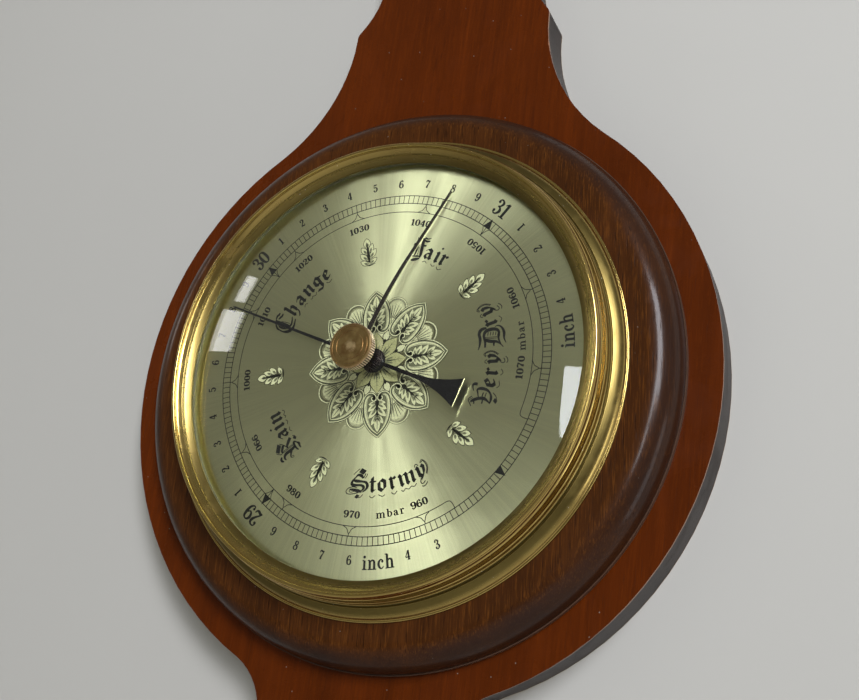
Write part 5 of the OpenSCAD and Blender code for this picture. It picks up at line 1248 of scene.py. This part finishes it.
class BAROMETER_OT_ornament(bpy.types.Operator):
    """Prints the eight leaved rosette and the five leaf sprigs"""

    bl_idname = "barometer.ornament"
    bl_label = "Print the ornament"

    def execute(self, context):
        self.layers = {name: FlatPrint() for name, _ in LAYERS}
        for k in range(8):
            self.lobe(ornament_turn(45 * k + 22.5))
        for k in range(8):
            self.leaf(ornament_turn(45 * k))
            self.petal(ornament_turn(45 * k))
        for turn in SPRIG_TURNS:
            self.sprig(ornament_turn(turn, SPRIG_R))
        lift = context.scene.barometer_print.lift
        for step, (name, finish) in enumerate(LAYERS):
            self.layers[name].finish(name, finish, lift * (0.5 + 0.5 * step))
        return {"FINISHED"}

    def inks(self, *names):
        """The layers of these names."""
        return [self.layers[name] for name in names]

    def lined(self, line, width, move, edge):
        """A pale band with a dark line along both of its sides."""
        self.layers["leaf_outlines"].put(ribbon(line, width + 2 * edge), move)
        self.layers["leaf_pale"].put(ribbon(line, width), move)

    def leaflet(self, base, tip, width, rim, shading, move):
        """A pale leaflet with a dark rim and a shaded middle."""
        base, tip = np.asarray(base, float), np.asarray(tip, float)
        along = tip - base
        out = along / np.linalg.norm(along)
        dark = leaflet(base - out * rim[0], tip + out * rim[1], width + rim[2])
        middle = leaflet(base + along * shading[0], base + along * shading[1], width * shading[2])
        self.layers["leaf_outlines"].put(dark, move)
        self.layers["leaf_pale"].put(leaflet(base, tip, width), move)
        self.layers["leaf_shading"].put(middle, move)

    def lobe(self, move):
        """Rounded lobe behind the leaves: a pale line between two dark ones round a toothed fan,
        with a small toothed leaf and a dark wedge on it."""
        under, fan, vein = self.inks("lobe_ground", "lobe_fans", "leaf_veins")
        turn = np.linspace(-125, 125, 26)
        for layer, radius, width in ((under, 3.55, 0.72), (fan, 3.58, 0.42), (under, 2.98, 0.13)):
            layer.put(ribbon(polar(radius, turn) + (0, LOBE_R), width), move)
        # The fan is one face: it reaches less far as it tilts, and has a scallop every ten degrees.
        tilt = np.linspace(-33, 33, 67)
        scallop = 0.93 + 0.07 * np.sqrt(np.abs(np.cos(np.pi * tilt / 10)))
        edge = polar((7.3 - 0.0017 * tilt**2) * scallop, tilt) + (0, FAN_R)
        foot = FAN_R - 0.3
        fan.put(blob(np.concatenate([[(0.3, foot)], edge[::-1], [(-0.3, foot)]])), move)
        for gap in range(-25, 26, 10):
            line = polar(np.array([2.0, 4.2, 6.6 - 0.0022 * gap**2]), gap) + (0, FAN_R)
            vein.put(ribbon(line, [0.24, 0.20, 0.13]), move)
        under.put(leaflet((0, 7.0), (0, 10.6), 1.30), move)
        fan.put(leaflet((0, 7.2), (0, 10.35), 1.1, teeth=6), move)
        vein.put(blob([(0.0, 5.9), (-0.55, 7.3), (0.0, 7.8), (0.55, 7.3)]), move)

    def leaf(self, move):
        """Large curled leaf: an outline and a band on both sides, four pairs of leaflets, one at
        the tip, and a dark midrib with side veins."""
        ground, outline, pale, shading, vein = self.inks(
            "leaf_ground", "leaf_outlines", "leaf_pale", "leaf_shading", "leaf_veins")
        edge, band = spline(LEAF_EDGE, 4), spline(LEAF_BAND, 4)
        ground.put(blob(mirrored(edge[:41] + (0.12, 0.0))), move)
        ground.put(blob([(-1.5, 9.8), (-1.5, 12.0), (1.5, 12.0), (1.5, 9.8), (0, 10.4)]), move)
        for flip in SIDES:
            self.lined(edge * flip, 0.30, move, 0.17)
            self.lined(band[:, :2] * flip, band[:, 2], move, 0.13)
            inner = band[:, :2] * flip - (0.20 * flip[0], 0)
            shading.put(ribbon(inner, band[:, 2] * 0.14), move)
            for base, tip, width in LEAF_PAIRS:
                self.leaflet(base * flip, tip * flip, width, ROSETTE_RIM, ROSETTE_SHADING, move)
        outline.put(leaflet((0, 17.0), (0, 21.95), 1.20), move)
        pale.put(leaflet((0, 17.2), (0, 21.7), 1.05), move)
        vein.put(ribbon([(0, 11.9), (0, 12.8), (0, 14.2), (0, 16.0), (0, 18.5), (0, 20.9)],
                        [0.7, 1.25, 0.62, 0.42, 0.26, 0.08]), move)
        for y, reach, rise in ((12.7, 1.5, 0.35), (14.3, 1.6, 1.0), (16.1, 1.2, 1.1)):
            for flip in SIDES:
                line = np.array([(0, y), (reach * 0.5, y + rise * 0.4), (reach, y + rise)])
                vein.put(ribbon(line * flip, [0.34, 0.18, 0.04]), move)

    def petal(self, move):
        """Pale pointed petal of the inner star, darker towards the hub."""
        outline, petal, shading, vein = self.inks(
            "leaf_outlines", "star_petals", "leaf_shading", "leaf_veins")
        half = spline(PETAL, 4)
        t = np.arange(len(half))
        toothed = half * np.stack([np.where(t % 2, 1.0, 0.92), np.ones(len(t))], 1)
        outline.put(blob(mirrored(half * (1.05, 1.0) + (0.14, 0.0))), move)
        petal.put(blob(mirrored(toothed)), move)
        for x in (-0.55, 0.0, 0.55):
            shading.put(leaflet((x * 0.5, 2.8), (x * 1.9, 6.1 - abs(x)), 0.26), move)
        vein.put(ribbon([(0, 3.4), (0, 8.8)], [0.22, 0.05]), move)
        for y in (4.6, 5.8, 7.0):
            for flip in SIDES:
                vein.put(ribbon(np.array([(0, y), (0.9, y + 0.7)]) * flip, [0.10, 0.03]), move)

    def sprig(self, move):
        """Small sprig of seven leaflets on a dark stem."""
        vein = self.layers["leaf_veins"]
        for base, tip, width in SPRIG:
            self.leaflet(base, tip, width, SPRIG_RIM, SPRIG_SHADING, move)
        vein.put(stroke(SPRIG_STEM, 4), move)
        for line in SPRIG_VEINS:
            vein.put(ribbon(line, [0.36, 0.06]), move)
        vein.put(stroke(SPRIG_FOOT, 4), move)


# The thermometer's scale in millimetres: its lowest line, one degree, how far its lines start
# from the middle, where its numbers stand, and the half width and ends of the line round it.
LOWEST_LINE, DEGREE, LINE_START, NUMBER_X, NUMBER_HEIGHT = 197.0, 65.0 / 70, 4.6, 11.5, 3.0
BORDER, BORDER_LOW, BORDER_HIGH = 13.6, 167.4, 288.6


class BAROMETER_OT_thermometer(bpy.types.Operator):
    """Prints the thermometer's divisions and numbers"""

    bl_idname = "barometer.thermometer"
    bl_label = "Print the thermometer scale"

    def execute(self, context):
        ink = FlatPrint()
        for step in range(71):
            y, ten = LOWEST_LINE + step * DEGREE, step % 10 == 0
            far = 8.2 if ten else 6.9 if step % 5 == 0 else 6.1
            for side in (-1, 1):
                ink.put(ribbon([(side * LINE_START, y), (side * far, y)], 0.28 if ten else 0.17))
            if ten:
                for side in (-1, 1):
                    self.number(ink, step - 20, side * NUMBER_X, y)
        for x in (-4.4, 4.4):
            ink.put(ribbon([(x, LOWEST_LINE - 1), (x, LOWEST_LINE + 66)], 0.2))
        corners = [(-BORDER, BORDER_LOW), (BORDER, BORDER_LOW), (BORDER, BORDER_HIGH),
                   (-BORDER, BORDER_HIGH), (-BORDER, BORDER_LOW)]
        for ends in zip(corners, corners[1:]):
            ink.put(ribbon(ends, 0.3))
        lift = context.scene.barometer_print.lift
        ink.finish("thermometer_print", "ink", lift, lean=0.0, face=SCALE_FACE)
        return {"FINISHED"}

    def number(self, ink, value, middle, y):
        """Sets a number level, centred on a point."""
        text = str(abs(value))
        x = middle - sum(ROMAN[character][0] for character in text) * NUMBER_HEIGHT / 2
        if value < 0:
            ink.put(ribbon([(x - 1.1, y), (x - 0.3, y)], 0.3))
        for character in text:
            draw_roman(ink, character, lambda p: p * NUMBER_HEIGHT + (x, y - NUMBER_HEIGHT / 2))
            x += ROMAN[character][0] * NUMBER_HEIGHT


# The wall's opening behind the board: the body's radius, and the neck's half width, middle and
# half height, in metres. Rays shorter than NEAR pass too.
BODY_OPENING, NECK_HALF, NECK_MIDDLE, NECK_REACH, NEAR = 0.096, 0.027, 0.139, 0.131, 0.0015
WALL_Y, FLOOR_Z, STAGE_HALF = 0.0004, -1.15, 3
WARM, COOL = (1.0, 0.99, 0.97), (0.97, 0.98, 1.0)
# Lamps: place from the dial, width and height in metres, share of the power, and colour.
LAMPS = {
    "window": ((0.75, -1.17, 0.555), (0.42, 0.60), 1.0, (0.965, 0.985, 1.06)),
    "far_pane": ((-1.407, -0.461, 0.467), (0.24, 0.20), 0.044, WARM),
    "far_light": ((-1.32, -0.46, 0.66), (0.10, 0.13), 0.011, WARM),
    "side_panel": ((0.59, -1.37, 0.17), (0.15, 0.42), 0.155, (0.95, 0.99, 1.04)),
    "low_window": ((1.104, -0.192, -0.24), (0.26, 0.60), 0.07, COOL),
    "back_window": ((-0.60, 1.10, 0.50), (0.50, 0.50), 0.50, WARM),
}
LAMP_TARGET = Vector((0.0, -0.03, DIAL_Z))
# The camera's place, and where its right, its up and its view point.
CAMERA_PLACE = (0.1471, -0.2973, -0.4131)
CAMERA_RIGHT, CAMERA_UP = Vector((0.9066, 0.4009, 0.1317)), Vector((-0.0058, -0.3003, 0.9538))
CAMERA_VIEW = Vector((-0.4219, 0.8655, 0.2699))


class BAROMETER_OT_studio(bpy.types.Operator):
    """Sets the pale wall and floor, the soft lamps, the room's light and the camera"""

    bl_idname = "barometer.studio"
    bl_label = "Set the studio"

    def execute(self, context):
        scene, look = context.scene, context.scene.barometer_studio
        low, half, deep = FLOOR_Z, STAGE_HALF, STAGE_HALF + 1
        wall = self.plane("wall", [(-half, WALL_Y, low), (half, WALL_Y, low), (half, WALL_Y, 2.6),
                                   (-half, WALL_Y, 2.6)], self.wall_paint(look.wall_grey))
        floor = self.plane("floor", [(-half, -deep, low), (half, -deep, low), (half, half, low),
                                     (-half, half, low)],
                           self.stage_paint("Pale floor", look.wall_grey, 0.85, 5.0))

        scene.world = scene.world or bpy.data.worlds.new("Room")
        scene.world.use_nodes = True
        room = scene.world.node_tree.nodes["Background"].inputs
        room[0].default_value = (1.0, 0.97, 0.87, 1.0)
        room[1].default_value = look.room_light
        for name, (place, size, share, colour) in LAMPS.items():
            self.lamp(name, Vector(place), size, look.window_light * share, colour)

        cam = bpy.data.objects.new("camera", bpy.data.cameras.new("camera"))
        scene.collection.objects.link(cam)
        cam.data.sensor_width = 36.0
        cam.data.lens = look.lens
        cam.data.clip_start = 0.01
        turn = Matrix((CAMERA_RIGHT, CAMERA_UP, -CAMERA_VIEW)).transposed().to_4x4()
        cam.matrix_world = Matrix.Translation(CAMERA_PLACE) @ turn
        scene.camera = cam
        scene.view_settings.view_transform = "Standard"
        return {"FINISHED"}

    def stage_paint(self, name, grey, rough, patches):
        """Plain paint with wide, barely darker patches."""
        f = Finish(name, Roughness=rough)
        patch = f.ramp(f.noise(f.where, patches), 0.3, 0.7, 0.0, 0.5)
        f.feed(Base_Color=f.mix(patch, tuple(grey), shade(grey, 0.97)))
        return f

    def wall_paint(self, grey):
        """Paint that is seen through from behind, and open where the board covers the wall, so
        that light reaches the board's back."""
        f = self.stage_paint("Pale wall", grey, 0.9, 6.0)
        side = f.parts(f.where)
        body = f.maths("LESS_THAN", f.length(f.from_dial(f.where)), BODY_OPENING)
        neck = f.times(f.within(side[0], NECK_HALF),
                       f.within(f.plus(side[2], NECK_MIDDLE), NECK_REACH))
        behind = f.add("ShaderNodeNewGeometry")["Backfacing"]
        near = f.maths("LESS_THAN", f.add("ShaderNodeLightPath")["Ray Length"], NEAR)
        f.see_through(f.either(f.either(body, neck), f.either(behind, near)))
        return f

    def plane(self, name, corners, finish):
        """A flat sheet with four corners, listed the way its front is seen."""
        mesh = bpy.data.meshes.new(name)
        mesh.from_pydata(corners, [], [(0, 1, 2, 3)])
        mesh.materials.append(finish.material)
        obj = bpy.data.objects.new(name, mesh)
        bpy.context.scene.collection.objects.link(obj)
        return obj

    def lamp(self, name, place, size, power, colour):
        """A soft lamp, placed from the dial and aimed at it."""
        data = bpy.data.lights.new(name, "AREA")
        data.shape = "RECTANGLE"
        data.size, data.size_y = size
        data.energy = power
        data.color = colour
        obj = bpy.data.objects.new(name, data)
        obj.location = LAMP_TARGET + place
        obj.rotation_mode = "QUATERNION"
        obj.rotation_quaternion = (-place).to_track_quat("-Z", "Y")
        bpy.context.scene.collection.objects.link(obj)


# ---------------------------------------------------------------- add-on

STEPS = (BAROMETER_OT_finishes, BAROMETER_OT_studio, BAROMETER_OT_bezel, BAROMETER_OT_scale,
         BAROMETER_OT_numerals, BAROMETER_OT_words, BAROMETER_OT_ornament,
         BAROMETER_OT_thermometer)
HOLDERS = {"barometer_finish": BarometerFinish, "barometer_print": BarometerPrint,
           "barometer_studio": BarometerStudio}


class BAROMETER_PT_panel(bpy.types.Panel):
    """Lists the settings and the steps in order"""

    bl_idname = "BAROMETER_PT_panel"
    bl_label = "Barometer"
    bl_space_type = "VIEW_3D"
    bl_region_type = "UI"
    bl_category = "Barometer"

    def draw(self, context):
        for holder, group in HOLDERS.items():
            box = self.layout.box()
            for key in group.__annotations__:
                box.prop(getattr(context.scene, holder), key)
        for step in STEPS:
            self.layout.operator(step.bl_idname)


def register():
    """Registers the settings, the operators and the panel."""
    for name, group in HOLDERS.items():
        bpy.utils.register_class(group)
        setattr(bpy.types.Scene, name, bpy.props.PointerProperty(type=group))
    for step in STEPS:
        bpy.utils.register_class(step)
    bpy.utils.register_class(BAROMETER_PT_panel)


def unregister():
    """Takes them out again, the last one first."""
    bpy.utils.unregister_class(BAROMETER_PT_panel)
    for step in reversed(STEPS):
        bpy.utils.unregister_class(step)
    for name, group in reversed(HOLDERS.items()):
        delattr(bpy.types.Scene, name)
        bpy.utils.unregister_class(group)


def main():
    """Makes everything in order."""
    register()
    for step in STEPS:
        group, action = step.bl_idname.split(".")
        getattr(getattr(bpy.ops, group), action)()


if __name__ == "__main__":
    main()
